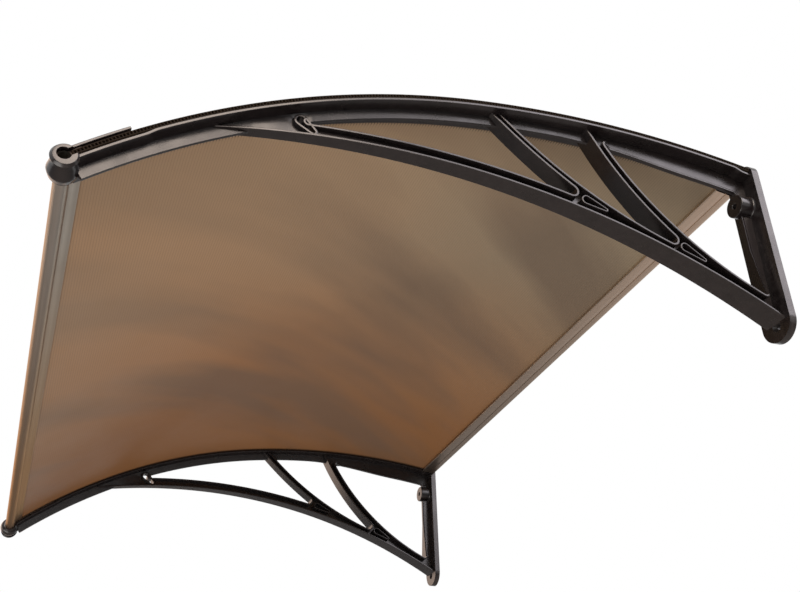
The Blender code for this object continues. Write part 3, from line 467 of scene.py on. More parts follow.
def rimMesh(bm, inset, wideAlong=None):
    thicken(bm, 2.0 * rims["halfWidthWall"])
    for vert in bm.verts:
        side = 1.0 if vert.co.x > 0.0 else -1.0
        width = rimHalfWidth(vert.co.y) - inset
        if wideAlong:
            away = min(hypot(vert.co.y - y, vert.co.z - z) for y, z in wideAlong)
            width += (rims["narrowHalfWidth"] - width) * blend(away, rims["narrowFrom"], rims["narrowTo"])
        vert.co.x = side * width
    softenEdges(bm, rims["edgeSoftness"])
    return bm


def rimMeshes():
    lower = lowerLine(lowerArc["tipY"], -plate["thickness"] / 2.0)
    made = [rimMesh(stripMesh(lower, offset(lower, rims["thickness"])), 0.0)]
    flange = flangeLine(socketArc, plateArc)
    (member, first, stem), (firstRear, second, _), third = openingLines()

    # Around the front opening
    tipEnd, tipStart, tipCurve = rounding(stem, member, struts["tipRounding"])
    footEnd, footStart, footCurve = rounding(member, first, struts["footRounding"])
    run = [along(stem, tipEnd)] + tipCurve + stretch(member, tipStart, footEnd) + footCurve
    run += stretch(first, footStart, (len(first) - 2, 1.0))
    made.append(rimMesh(stripMesh(*rimBand(run, flange, False, True)), rims["step"]))

    # Around the opening between the struts
    footEnd, footStart, footCurve = rounding(firstRear, second, struts["footRounding"])
    run = stretch(firstRear, (0, 0.0), footEnd) + footCurve
    run += stretch(second, footStart, (len(second) - 2, 1.0))
    made.append(rimMesh(stripMesh(*rimBand(run, flange, True, True)), rims["step"]))

    # Around the rear opening, the teardrop and the two blind pockets
    loop = roundedLoop(third, [struts["cornerRounding"]] * 3)
    face = third[0]
    strut = [along(face, (i, share)) for i in range(len(face) - 1) for share in spread(0.0, 1.0, 0.2)]
    outer = offset(loop, -rims["thickness"], True)
    made.append(rimMesh(stripMesh(outer, loop, True), rims["step"], strut))
    made.append(rimMesh(stripMesh(teardrop(rims["thickness"]), teardrop(0.0), True), 2.0 * rims["step"]))
    for frontEnd, wallEnd in eyes["places"]:
        large = lowerPoint(*frontEnd)
        small = lowerPoint(*wallEnd)
        loops = [pearLoop(large, eyes["frontRadius"] - wall, small, eyes["wallRadius"] - wall)
                 for wall in (0.0, eyes["wall"])]
        made.append(rimMesh(stripMesh(*loops, True), 2.0 * rims["step"]))
    return made


socket = {
    "reach": 0.7640,                            # distance of the front bar's axis from the wall
    "lift": 0.0038,                             # height of that axis above the flange line
    "sides": 64, "radius": 0.0145, "tubeRadius": 0.0072, "holeRadius": 0.0075,
    "outerLength": 0.0215, "innerLength": 0.0130,
    "ringRadius": 0.0112, "ringFlare": 0.0016, "ringWidth": 0.0035,
    "neckRadius": 0.0108, "notchWidth": 0.0022, "notchSlope": 0.0006, "bandWidth": 0.0050,
    "swellLength": 0.0075, "swellStep": 0.0025,
    "innerRadius": 0.0098, "collarRadius": 0.0109, "collarStep": 0.0010, "sleeveLength": 0.0025,
    "edgeRounding": 0.0009, "mouthRadius": 0.0064, "mouthDepth": 0.0014, "mouthShift": 0.0008,
    "slotFloor": -0.0037, "slotCut": 0.0040, "slotRoof": 0.0078,
    "lipThickness": 0.0028, "lipReach": 0.0680, "lipSoftness": 0.0007,
}


def lipMesh():
    start = socketArc + socket["tubeRadius"]
    end = socketArc + socket["lipReach"]
    low = socket["slotRoof"] + gap
    bm = stripMesh(flangeLine(start, end, low), flangeLine(start, end, low + socket["lipThickness"]))
    thicken(bm, topArc["width"])
    softenEdges(bm, socket["lipSoftness"])
    return bm


def socketProfile():
    # The socket's wall as (radius, height) points, from its mouth round the outside to its inner end
    hole = socket["holeRadius"]
    edge = socket["edgeRounding"]
    outer = socket["outerLength"]
    inner = -socket["innerLength"]
    ring = outer - socket["ringWidth"]
    big = socket["ringRadius"]
    flared = big + socket["ringFlare"]
    mouth = socket["mouthRadius"]
    mouthFloor = outer - socket["mouthDepth"]
    profile = [(hole, mouthFloor), (mouth, mouthFloor), (mouth, outer - edge * 0.3),
               (mouth + edge * 0.3, outer), (big - edge, outer), (big - edge * 0.3, outer - edge * 0.3),
               (big, outer - edge), (flared, ring + edge * 0.4), (flared - edge * 0.4, ring),
               (socket["neckRadius"], ring - socket["notchSlope"]),
               (socket["neckRadius"], ring - socket["notchWidth"] + socket["notchSlope"]),
               (big, ring - socket["notchWidth"])]
    for height in spread(ring - socket["bandWidth"], -socket["swellLength"], socket["swellStep"]):
        share = 1.0 - abs(height) / socket["innerLength"]
        profile.append((big + (socket["radius"] - big) * share, height))
    sleeve = inner + socket["sleeveLength"]
    profile += [(socket["collarRadius"], -socket["swellLength"] - socket["collarStep"]),
                (socket["collarRadius"], sleeve), (socket["innerRadius"], sleeve - socket["collarStep"]),
                (socket["innerRadius"], inner + edge), (socket["innerRadius"] - edge, inner), (hole, inner)]
    return profile


def socketMesh():
    y, z = flangePoint(socketArc, socket["lift"])
    angle = flangeAngle(socketArc)
    turned = Matrix(((0, 0, 1, 0), (1, 0, 0, 0), (0, 1, 0, 0), (0, 0, 0, 1)))
    bm = spunMesh(socketProfile(), socket["sides"], Matrix.Translation((0.0, y, z)) @ turned)
    # The mouth sits off centre
    for vert in bm.verts:
        if hypot(vert.co.y - y, vert.co.z - z) < (socket["mouthRadius"] + socket["holeRadius"]) / 2.0:
            vert.co += Vector((0.0, -socket["mouthShift"], socket["mouthShift"]))
    # Open the slot that the sheet's channel runs through
    away = Vector((0.0, cos(angle), -sin(angle)))   # along the sheet, away from the front edge
    above = Vector((0.0, sin(angle), cos(angle)))
    middle = Vector((0.0, y, z))
    for level in (socket["slotFloor"], socket["slotCut"]):
        bmesh.ops.bisect_plane(bm, geom=bm.verts[:] + bm.edges[:] + bm.faces[:], dist=1e-6,
                               plane_co=middle + above * level, plane_no=above)
    inSlot = []
    for face in bm.faces:
        spot = face.calc_center_median() - middle
        if spot.dot(away) > 0.0 and socket["slotFloor"] < spot.dot(above) < socket["slotCut"]:
            inSlot.append(face)
    bmesh.ops.delete(bm, geom=inSlot, context="FACES")
    bmesh.ops.holes_fill(bm, edges=[edge for edge in bm.edges if edge.is_boundary], sides=0)
    bmesh.ops.recalc_face_normals(bm, faces=bm.faces)
    return bm


plate = {
    "height": 0.233, "width": 0.045, "thickness": 0.009,
    "topRounding": 0.015, "edgeRounding": 0.0018, "ribDepth": 0.013,
    "bossZ": 0.178, "bossRadius": 0.014, "bossLength": 0.018, "bossLap": 0.001, "bossSides": 48,
    "bossEdge": 0.0012, "bossFillet": 0.0025, "bossMouth": 0.0006,
    "holeRadius": 0.0035, "lowerHoleZ": 0.0185,
    "sinkDepth": 0.0030, "sinkReach": 0.008,    # the countersink lies within this reach of its hole
}


def plateOutline():
    half = plate["width"] / 2.0
    top = plate["height"] - plate["topRounding"]
    corners = ((-1, half, half, pi), (1, half, half, 1.5 * pi),
               (1, top, plate["topRounding"], 0.0), (-1, top, plate["topRounding"], 0.5 * pi))
    points = []
    for side, z, radius, start in corners:
        for angle in spread(start, start + pi / 2.0, pi / 32.0):
            points.append((side * (half - radius) + radius * cos(angle), z + radius * sin(angle)))
    return [point for i, point in enumerate(points)
            if hypot(point[0] - points[i - 1][0], point[1] - points[i - 1][1]) > 1e-6]


def circle(u, v, radius):
    turns = [2.0 * pi * i / holeSides for i in range(holeSides)]
    return [(u + radius * cos(turn), v + radius * sin(turn)) for turn in turns]


def plateMesh():
    bm = filledMesh([plateOutline(), circle(0.0, plate["bossZ"], plate["holeRadius"]),
                     circle(0.0, plate["lowerHoleZ"], plate["holeRadius"])])
    bmesh.ops.rotate(bm, cent=(0, 0, 0), matrix=Matrix.Rotation(-pi / 2.0, 3, "Z"), verts=bm.verts)
    thicken(bm, plate["thickness"], (0.0, 1.0, 0.0))
    bmesh.ops.translate(bm, vec=(0.0, -plate["thickness"] / 2.0, 0.0), verts=bm.verts)

    def onFront(edge):
        return all(abs(vert.co.y + plate["thickness"]) < 1e-6 for vert in edge.verts)

    def within(edge, z, reach):
        return all(hypot(vert.co.x, vert.co.z - z) < reach for vert in edge.verts)

    def lowerHoleEdge(edge):
        return onFront(edge) and within(edge, plate["lowerHoleZ"], plate["holeRadius"] * 1.1)

    def rimEdge(edge):
        bossHole = within(edge, plate["bossZ"], plate["holeRadius"] * 1.1)
        return onFront(edge) and not bossHole and not within(edge, plate["lowerHoleZ"], plate["sinkReach"])

    softenEdges(bm, plate["sinkDepth"], 1, lowerHoleEdge)
    softenEdges(bm, plate["edgeRounding"], 4, rimEdge)
    return bm


def bossMesh():
    edge = plate["bossEdge"]
    fillet = plate["bossFillet"]
    radius = plate["bossRadius"]
    hole = plate["holeRadius"]
    mouth = plate["bossMouth"]
    base = plate["thickness"] - plate["bossLap"]
    end = plate["thickness"] + plate["bossLength"]
    profile = [(hole, base), (hole, end - mouth), (hole + mouth, end)]
    profile += [(radius - edge + edge * sin(a), end - edge + edge * cos(a))
                for a in spread(0.0, pi / 2.0, pi / 8.0)]
    profile += [(radius + fillet - fillet * sin(a), plate["thickness"] + fillet - fillet * cos(a))
                for a in spread(pi / 2.0, 0.0, pi / 8.0)]
    profile += [(radius + fillet, base)]
    outward = Matrix(((1, 0, 0, 0), (0, 0, -1, 0), (0, 1, 0, 0), (0, 0, 0, 1)))
    place = Matrix.Translation((0.0, 0.0, plate["bossZ"]))
    return spunMesh(profile, plate["bossSides"], place @ outward)


def bracketMesh():
    whole = bmesh.new()
    for bm in [webMesh(), flangeMesh(), lipMesh(), socketMesh(), plateMesh(), bossMesh()] + rimMeshes():
        addTo(whole, bm)
    return whole


# Tools for node trees

def nodeGroup(name, amounts, outputs):
    # A group that reads a place and some amounts, given with their defaults
    group = bpy.data.node_groups.new(name, "ShaderNodeTree")
    group.interface.new_socket(name="Vector", in_out="INPUT", socket_type="NodeSocketVector")
    for label, value in amounts.items():
        item = group.interface.new_socket(name=label, in_out="INPUT", socket_type="NodeSocketFloat")
        item.default_value = value
    for label in outputs:
        group.interface.new_socket(name=label, in_out="OUTPUT", socket_type="NodeSocketFloat")
    return group, group.nodes.new("NodeGroupInput"), group.nodes.new("NodeGroupOutput")


def placeGroup(tree, group, vector, **values):
    node = tree.nodes.new("ShaderNodeGroup")
    node.node_tree = group
    tree.links.new(vector, node.inputs["Vector"])
    for label, value in values.items():
        node.inputs[label].default_value = value
    return node


def noiseNode(tree, vector, scale, detail=3.0, roughness=0.5):
    node = tree.nodes.new("ShaderNodeTexNoise")
    node.inputs["Scale"].default_value = scale
    node.inputs["Detail"].default_value = detail
    node.inputs["Roughness"].default_value = roughness
    tree.links.new(vector, node.inputs["Vector"])
    return node


def mapRange(tree, value, low, high, outLow=0.0, outHigh=1.0, smooth=False):
    node = tree.nodes.new("ShaderNodeMapRange")
    if smooth:
        node.interpolation_type = "SMOOTHSTEP"
    for label, number in (("From Min", low), ("From Max", high), ("To Min", outLow), ("To Max", outHigh)):
        node.inputs[label].default_value = number
    tree.links.new(value, node.inputs["Value"])
    return node.outputs[0]


def mathNode(tree, operation, *values):
    node = tree.nodes.new("ShaderNodeMath")
    node.operation = operation
    for i, value in enumerate(values):
        if isinstance(value, (int, float)):
            node.inputs[i].default_value = value
        else:
            tree.links.new(value, node.inputs[i])
    return node.outputs[0]


def weightedSum(tree, *terms):
    # Adds up values, each times its weight
    total = None
    for value, weight in terms:
        part = mathNode(tree, "MULTIPLY", value, weight)
        total = part if total is None else mathNode(tree, "ADD", total, part)
    return total


def mixColour(tree, factor, first, second):
    node = tree.nodes.new("ShaderNodeMix")
    node.data_type = "RGBA"
    for socketName, value in (("Factor", factor), ("A", first), ("B", second)):
        # Each data type has its own sockets with the same names
        target = [item for item in node.inputs if item.name == socketName and item.enabled][0]
        if isinstance(value, bpy.types.NodeSocket):
            tree.links.new(value, target)
        else:
            target.default_value = (*value, 1.0)
    return [item for item in node.outputs if item.enabled][0]


def splitAxes(tree, vector):
    node = tree.nodes.new("ShaderNodeSeparateXYZ")
    tree.links.new(vector, node.inputs["Vector"])
    return node.outputs["X"], node.outputs["Y"], node.outputs["Z"]


def newMaterial(name):
    material = bpy.data.materials.new(name)
    material.use_nodes = True
    tree = material.node_tree
    place = tree.nodes.new("ShaderNodeTexCoord").outputs["Object"]
    return material, tree, tree.nodes["Principled BSDF"], place


def finishSurface(tree, shader, look, colour, rough, height):
    tree.links.new(colour, shader.inputs["Base Color"])
    tree.links.new(rough, shader.inputs["Roughness"])
    shader.inputs["Metallic"].default_value = look["metallic"]
    shader.inputs["Specular IOR Level"].default_value = look["specular"]
    bump = tree.nodes.new("ShaderNodeBump")
    bump.inputs["Strength"].default_value = look["bump"]
    bump.inputs["Distance"].default_value = look["bumpDepth"]
    tree.links.new(height, bump.inputs["Height"])
    tree.links.new(bump.outputs["Normal"], shader.inputs["Normal"])


# Effects that several materials share

def skinGroup():
    # Fine moulding grain over soft mottling
    group, entry, leave = nodeGroup("mouldedSkin", {"Grain": 1800.0, "Mottle": 35.0}, ("Tone", "Height"))
    fine = noiseNode(group, entry.outputs["Vector"], 1.0, 2.0, 0.6)
    soft = noiseNode(group, entry.outputs["Vector"], 1.0, 4.0, 0.55)
    group.links.new(entry.outputs["Grain"], fine.inputs["Scale"])
    group.links.new(entry.outputs["Mottle"], soft.inputs["Scale"])
    group.links.new(soft.outputs["Fac"], leave.inputs["Tone"])
    height = weightedSum(group, (fine.outputs["Fac"], 1.0), (soft.outputs["Fac"], 1.5))
    group.links.new(height, leave.inputs["Height"])
    return group


def dustGroup():
    # Settles on faces that look up, in uneven patches
    group, entry, leave = nodeGroup("dustFilm", {"Amount": 0.3}, ("Mask",))
    shape = group.nodes.new("ShaderNodeNewGeometry")
    up = mapRange(group, splitAxes(group, shape.outputs["Normal"])[2], 0.2, 0.95)
    patches = noiseNode(group, entry.outputs["Vector"], 14.0, 6.0, 0.65)
    uneven = mapRange(group, patches.outputs["Fac"], 0.38, 0.72, 0.25, 1.0)
    mask = mathNode(group, "MULTIPLY", mathNode(group, "MULTIPLY", up, uneven), entry.outputs["Amount"])
    group.links.new(mask, leave.inputs["Mask"])
    return group


def wearGroup():
    # Picks out convex edges, broken up by noise
    group, entry, leave = nodeGroup("edgeWear", {"Amount": 0.5}, ("Mask",))
    shape = group.nodes.new("ShaderNodeNewGeometry")
    edge = mapRange(group, shape.outputs["Pointiness"], 0.515, 0.60)
    rub = noiseNode(group, entry.outputs["Vector"], 120.0, 5.0, 0.7)
    broken = mapRange(group, rub.outputs["Fac"], 0.35, 0.65, 0.1, 1.0)
    mask = mathNode(group, "MULTIPLY", mathNode(group, "MULTIPLY", edge, broken), entry.outputs["Amount"])
    group.links.new(mask, leave.inputs["Mask"])
    return group


def dieLineGroup():
    # Long fine lines along X, left by an extrusion die, and wider bands of them
    group, entry, leave = nodeGroup("dieLines", {"Fineness": 900.0}, ("Lines", "Bands"))
    squeeze = group.nodes.new("ShaderNodeVectorMath")
    squeeze.operation = "MULTIPLY"
    squeeze.inputs[1].default_value = (0.004, 1.0, 1.0)
    group.links.new(entry.outputs["Vector"], squeeze.inputs[0])
    fine = noiseNode(group, squeeze.outputs[0], 1.0, 3.0, 0.6)
    group.links.new(entry.outputs["Fineness"], fine.inputs["Scale"])
    wide = noiseNode(group, squeeze.outputs[0], 140.0, 2.0, 0.5)
    group.links.new(fine.outputs["Fac"], leave.inputs["Lines"])
    group.links.new(wide.outputs["Fac"], leave.inputs["Bands"])
    return group


skin = skinGroup()
dust = dustGroup()
wear = wearGroup()
dieLines = dieLineGroup()


plasticLook = {
    "dark": (0.0040, 0.0028, 0.0028), "light": (0.0085, 0.0062, 0.0068), "grain": 1500.0, "mottle": 28.0,
    "rubbed": (0.075, 0.065, 0.062), "wear": 0.40,
    "dust": (0.16, 0.14, 0.12), "dustAmount": 0.35, "dustRough": 0.5,
    "roughLow": 0.19, "roughHigh": 0.30, "metallic": 0.0, "specular": 0.45,
    "bump": 0.06, "bumpDepth": 0.0002,
}


def bracketPlastic():
    look = plasticLook
    material, tree, shader, place = newMaterial("mouldedBlackPlastic")
    grain = placeGroup(tree, skin, place, Grain=look["grain"], Mottle=look["mottle"])
    rubbed = placeGroup(tree, wear, place, Amount=look["wear"])
    settled = placeGroup(tree, dust, place, Amount=look["dustAmount"])
    colour = mixColour(tree, mapRange(tree, grain.outputs["Tone"], 0.3, 0.7), look["dark"], look["light"])
    colour = mixColour(tree, rubbed.outputs["Mask"], colour, look["rubbed"])
    colour = mixColour(tree, settled.outputs["Mask"], colour, look["dust"])
    rough = mapRange(tree, grain.outputs["Tone"], 0.3, 0.7, look["roughHigh"], look["roughLow"])
    rough = weightedSum(tree, (rough, 1.0), (settled.outputs["Mask"], look["dustRough"]))
    finishSurface(tree, shader, look, colour, rough, grain.outputs["Height"])
    return material


sheetLook = {
    # Bronze tint with painted light: warmer towards the front left corner, greyer towards the wall on the
    # right
    "warm": (0.440, 0.235, 0.115), "grey": (0.262, 0.215, 0.150),
    "greyAlongX": 0.62, "greyAlongY": 0.75, "drift": 0.45, "driftScale": 2.2,
    "greyFrom": -0.30, "greyTo": 0.34,
    # Painted shade: deeper towards the left bracket
    "far": (0.240, 0.112, 0.042), "farFrom": 0.24, "farTo": -0.30, "farMost": 0.90,
    # Painted shadow: dark streaks that run askew
    "shade": (0.130, 0.096, 0.072), "streakTurn": -50.0, "streakSize": (0.90, 0.17, 1.0),
    "streakScale": 1.4, "streakFrom": 0.47, "streakTo": 0.66, "streakMost": 0.62,
    # Painted light: paler towards the front right corner
    "lit": (0.420, 0.292, 0.178), "litAlongX": 0.7, "litAlongY": -0.9,
    "litFrom": 0.36, "litTo": 0.80, "litMost": 0.62,
    "rib": (0.150, 0.105, 0.068), "ribFrom": 0.30, "ribTo": 0.50, "ribMost": 0.38,
    # Painted shade: dark teeth where the flutes run out over the bracket's flange
    "edge": (0.010, 0.007, 0.006), "teethFrom": 0.4760, "teethRun": 0.002,
    "toothDepth": 0.0045, "teethMost": 0.85,
    "dust": (0.34, 0.30, 0.25), "dustAmount": 0.18, "dustRough": 0.6,
    "scuffScale": 9.0, "roughLow": 0.34, "roughHigh": 0.48,
    "metallic": 0.0, "specular": 0.08, "bump": 0.30, "bumpDepth": 0.0002,
}


def fluteRibs(tree):
    # 1 over the sheet's ribs, 0 between them
    mapUv = tree.nodes.new("ShaderNodeUVMap")
    mapUv.uv_map = "flutes"
    count = mathNode(tree, "MULTIPLY", splitAxes(tree, mapUv.outputs["UV"])[0], float(sheet["fluteCount"]))
    side = mathNode(tree, "SUBTRACT", mathNode(tree, "FRACT", count), 0.5)
    fromMiddle = mathNode(tree, "ABSOLUTE", side)
    return mapRange(tree, fromMiddle, sheetLook["ribFrom"], sheetLook["ribTo"], smooth=True)


def paintedShadowStreaks(tree, place):
    turned = tree.nodes.new("ShaderNodeMapping")
    turned.vector_type = "TEXTURE"   # stretches the pattern along its own turned axis
    turned.inputs["Rotation"].default_value = (0.0, 0.0, radians(sheetLook["streakTurn"]))
    turned.inputs["Scale"].default_value = sheetLook["streakSize"]
    tree.links.new(place, turned.inputs["Vector"])
    streaks = noiseNode(tree, turned.outputs["Vector"], sheetLook["streakScale"], 3.0, 0.45)
    return mapRange(tree, streaks.outputs["Fac"], sheetLook["streakFrom"], sheetLook["streakTo"],
                    0.0, sheetLook["streakMost"])


def tintedSheet():
    look = sheetLook
    material, tree, shader, place = newMaterial("bronzeTwinWall")
    x, y, _ = splitAxes(tree, place)
    ribs = fluteRibs(tree)
    drift = noiseNode(tree, place, look["driftScale"], 3.0, 0.5)
    slope = weightedSum(tree, (x, look["greyAlongX"]), (y, look["greyAlongY"]),
                        (drift.outputs["Fac"], look["drift"]))
    paintedLightGreyness = mapRange(tree, slope, look["greyFrom"], look["greyTo"], smooth=True)
    far = mapRange(tree, x, look["farFrom"], look["farTo"], 0.0, look["farMost"])
    corner = weightedSum(tree, (x, look["litAlongX"]), (y, look["litAlongY"]))
    lit = mapRange(tree, corner, look["litFrom"], look["litTo"], 0.0, look["litMost"])
    outwards = weightedSum(tree, (mathNode(tree, "ABSOLUTE", x), 1.0), (ribs, look["toothDepth"]))
    teethTo = look["teethFrom"] + look["teethRun"]
    paintedShadeTeeth = mapRange(tree, outwards, look["teethFrom"], teethTo, 0.0, look["teethMost"])
    settled = placeGroup(tree, dust, place, Amount=look["dustAmount"]).outputs["Mask"]

    # Painted light: the tint turns from warm to grey across the sheet
    colour = mixColour(tree, paintedLightGreyness, look["warm"], look["grey"])
    # Painted shade, deeper towards the left bracket
    colour = mixColour(tree, far, colour, look["far"])
    # Painted shadow in askew streaks
    colour = mixColour(tree, paintedShadowStreaks(tree, place), colour, look["shade"])
    # Painted light, paler towards the front right corner
    colour = mixColour(tree, lit, colour, look["lit"])
    colour = mixColour(tree, mathNode(tree, "MULTIPLY", ribs, look["ribMost"]), colour, look["rib"])
    # Painted shade in teeth along the sheet's sides
    colour = mixColour(tree, paintedShadeTeeth, colour, look["edge"])
    colour = mixColour(tree, settled, colour, look["dust"])

    scuffs = noiseNode(tree, place, look["scuffScale"], 6.0, 0.7)
    rough = mapRange(tree, scuffs.outputs["Fac"], 0.3, 0.75, look["roughLow"], look["roughHigh"])
    rough = weightedSum(tree, (rough, 1.0), (settled, look["dustRough"]))
    finishSurface(tree, shader, look, colour, rough, mathNode(tree, "MULTIPLY", ribs, -1.0))
    return material


barLook = {
    # Metal, dull patches, tone towards the left end and tint of grazing reflections
    "front": ((0.50, 0.48, 0.44), (0.38, 0.36, 0.33), (0.34, 0.245, 0.175), (0.62, 0.46, 0.33)),
    # The rear bar's tones are paler and warmer than the front bar's: painted light, for the brighter light
    # on the rear bar
    "rear": ((0.80, 0.69, 0.58), (0.62, 0.51, 0.41), (0.36, 0.310, 0.265), (0.90, 0.87, 0.84)),
    "farFrom": 0.38, "farTo": -0.22, "farMost": 0.85,
    "fineness": 1100.0, "stainScale": 18.0, "stainMost": 0.5,
    # The cut ends are painted near black: painted shade
    "cutEndShade": (0.012, 0.010, 0.009), "cutFacing": 0.8,   # faces that look along X are cut ends
    "dust": (0.30, 0.27, 0.23), "dustAmount": 0.25, "roughLow": 0.26, "roughHigh": 0.42,
    "metallic": 1.0, "specular": 0.5, "bump": 0.2, "bumpDepth": 0.0001,
}


def barAluminium(name, metal, dull, farTone, grazing):
    look = barLook
    material, tree, shader, place = newMaterial(name)
    lines = placeGroup(tree, dieLines, place, Fineness=look["fineness"])
    stain = noiseNode(tree, place, look["stainScale"], 5.0, 0.6)
    stained = mapRange(tree, stain.outputs["Fac"], 0.45, 0.8, 0.0, look["stainMost"])
    x = splitAxes(tree, place)[0]
    farther = mapRange(tree, x, look["farFrom"], look["farTo"], 0.0, look["farMost"])
    settled = placeGroup(tree, dust, place, Amount=look["dustAmount"])
    shape = tree.nodes.new("ShaderNodeNewGeometry")
    sideways = mathNode(tree, "ABSOLUTE", splitAxes(tree, shape.outputs["Normal"])[0])
    shadedCutEnds = mathNode(tree, "GREATER_THAN", sideways, look["cutFacing"])

    colour = mixColour(tree, mapRange(tree, lines.outputs["Bands"], 0.35, 0.65), metal, dull)
    colour = mixColour(tree, stained, colour, dull)
    colour = mixColour(tree, farther, colour, farTone)
    colour = mixColour(tree, settled.outputs["Mask"], colour, look["dust"])
    # Painted shade on the cut ends
    colour = mixColour(tree, shadedCutEnds, colour, look["cutEndShade"])
    rough = mapRange(tree, lines.outputs["Lines"], 0.3, 0.7, look["roughLow"], look["roughHigh"])
    finishSurface(tree, shader, look, colour, rough, lines.outputs["Lines"])
    shader.inputs["Specular Tint"].default_value = (*grazing, 1.0)
    return material


shadedEdgeLook = {
    # The sheet's sawn edges with the open flutes, dull, and painted nearly black as shade
    "dark": (0.010, 0.007, 0.006), "light": (0.022, 0.016, 0.012), "grain": 2200.0, "mottle": 160.0,
    "roughLow": 0.75, "roughHigh": 0.95, "metallic": 0.0, "specular": 0.1, "bump": 0.3, "bumpDepth": 0.0002,
}
steelLook = {
    "dark": (0.42, 0.42, 0.43), "light": (0.60, 0.60, 0.60), "grain": 2500.0, "mottle": 180.0,
    "laid": (0.75, 0.74, 0.72), "laidAmount": 0.8,
    "roughLow": 0.22, "roughHigh": 0.45, "metallic": 1.0, "specular": 0.5,
    "bump": 0.15, "bumpDepth": 0.0001,
}
rubberLook = {
    "dark": (0.010, 0.010, 0.010), "light": (0.028, 0.027, 0.026), "grain": 3000.0, "mottle": 220.0,
    "laid": (0.16, 0.15, 0.13), "laidAmount": 0.5,
    "roughLow": 0.55, "roughHigh": 0.80, "metallic": 0.0, "specular": 0.5, "bump": 0.3, "bumpDepth": 0.0002,
}


def grainedSurface(name, look, laidOn=None):
    # Two tones that the grain mixes, and the tone of worn or dusty places where a group is laid on
    material, tree, shader, place = newMaterial(name)
    grain = placeGroup(tree, skin, place, Grain=look["grain"], Mottle=look["mottle"])
    colour = mixColour(tree, mapRange(tree, grain.outputs["Tone"], 0.3, 0.7), look["dark"], look["light"])
    if laidOn:
        laid = placeGroup(tree, laidOn, place, Amount=look["laidAmount"])
        colour = mixColour(tree, laid.outputs["Mask"], colour, look["laid"])
    rough = mapRange(tree, grain.outputs["Tone"], 0.3, 0.7, look["roughLow"], look["roughHigh"])
    finishSurface(tree, shader, look, colour, rough, grain.outputs["Height"])
    return material


sheet = {
    "thickness": 0.004, "skin": 0.0005, "ribWidth": 0.0005, "fluteCount": 230,
    "barFloor": 0.0012,   # wall of the front bar between its tube and the sheet's edge
}


def sheetPiece(material, edgeMaterial):
    under = topArc["thickness"] / 2.0 + gap
    over = under + sheet["thickness"]
    first = socketArc + socket["tubeRadius"] + sheet["barFloor"]
    last = arcAt(-plate["thickness"] - gap) - over * sin(flangeAngle(plateArc))
    pitch = (last - first) / sheet["fluteCount"]
    arcs = [first + (last - first) * i / sheet["fluteCount"] for i in range(sheet["fluteCount"] + 1)]
    loops = [[flangePoint(arc, under) for arc in arcs] + [flangePoint(arc, over) for arc in reversed(arcs)]]
    low = under + sheet["skin"]
    high = over - sheet["skin"]
    for i, arc in enumerate(arcs[:-1]):
        start = arc + sheet["ribWidth"] * (1.0 if i == 0 else 0.5)
        end = arc + pitch - sheet["ribWidth"] * (1.0 if i == sheet["fluteCount"] - 1 else 0.5)
        loops.append([flangePoint(start, low), flangePoint(end, low),
                      flangePoint(end, high), flangePoint(start, high)])
    bm = filledMesh(loops)
    thicken(bm, 2.0 * halfSpacing + topArc["width"])
    layer = bm.loops.layers.uv.new("flutes")
    for face in bm.faces:
        for corner in face.loops:
            spot = corner.vert.co
            share = (arcAt(max(-0.78, min(-0.001, spot.y))) - first) / (last - first)
            corner[layer].uv = (share, spot.x + halfSpacing)
        # Faces that look along X take the edge material, painted near black as shade
        face.material_index = 1 if abs(face.normal.x) > 0.8 else 0
    piece = makePiece("roofSheet", bm, material, "roof_sheet", 30.0)
    piece.data.materials.append(edgeMaterial)
    return piece


# Build the awning

socketArc = arcAt(-socket["reach"])
plateArc = arcAt(-plate["thickness"])

plastic = bracketPlastic()
tinted = tintedSheet()
sawnEdge = grainedSurface("shadedSawnSheetEdge", shadedEdgeLook)
frontAluminium = barAluminium("frontBarAluminium", *barLook["front"])
rearAluminium = barAluminium("rearBarAluminium", *barLook["rear"])
steel = grainedSurface("zincPlatedSteel", steelLook, wear)
rubber = grainedSurface("sealingRubber", rubberLook, dust)
print("materials made")

for sideName, side in (("Right", 1.0), ("Left", -1.0)):
    bm = bracketMesh()
    if side < 0.0:
        bmesh.ops.scale(bm, vec=(-1.0, 1.0, 1.0), verts=bm.verts)
        bmesh.ops.reverse_faces(bm, faces=bm.faces)
    bmesh.ops.translate(bm, vec=(side * halfSpacing, 0.0, 0.0), verts=bm.verts)
    makePiece("wallBracket" + sideName, bm, plastic, "bracket_" + sideName.lower())
print("brackets made")

sheetPiece(tinted, sawnEdge)
print("sheet made")

for name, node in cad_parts.items():
    looks = {"front_bar": frontAluminium, "rear_bar": rearAluminium}
    look = looks.get(name)
    if name.startswith("sheet_screw"):
        look = steel
    if name.startswith("washer"):
        look = rubber
    if look:
        for place in node.material_slots:
            place.material = look
print("bars, screws and washers dressed")


studio = {
    "floorZ": -2.2, "floorSize": 30.0, "floorColour": (0.80, 0.78, 0.76),
    "worldColour": (0.80, 0.80, 0.82), "worldLight": 0.34,
    # Each lamp: place, aims at, width, height, watts, colour
    "lamps": {
        "keySoftbox": ((3.0, -0.55, 1.5), (0.5, -0.7, 0.1), 1.4, 2.4, 104.0, (1.0, 0.83, 0.71)),
        "wallSoftbox": ((2.45, 1.25, 1.9), (0.5, -0.15, 0.15), 1.8, 1.8, 44.0, (1.0, 0.92, 0.98)),
        "lowFill": ((1.05, -1.66, -1.28), (0.0, -0.4, 0.15), 1.4, 1.4, 25.5, (1.0, 0.97, 0.93)),
        "warmCard": ((-2.5, -1.4, 1.1), (0.0, -0.77, 0.0), 3.2, 3.0, 24.0, (1.0, 0.48, 0.18)),
    },
    # The camera's heading off -X, its tilt upwards and its roll, in degrees
    "cameraPlace": (1.2408, -0.748, -0.5172), "heading": 21.686, "tilt": 31.485, "roll": -1.632,
    "lens": 45.0, "sensor": 36.0,
}


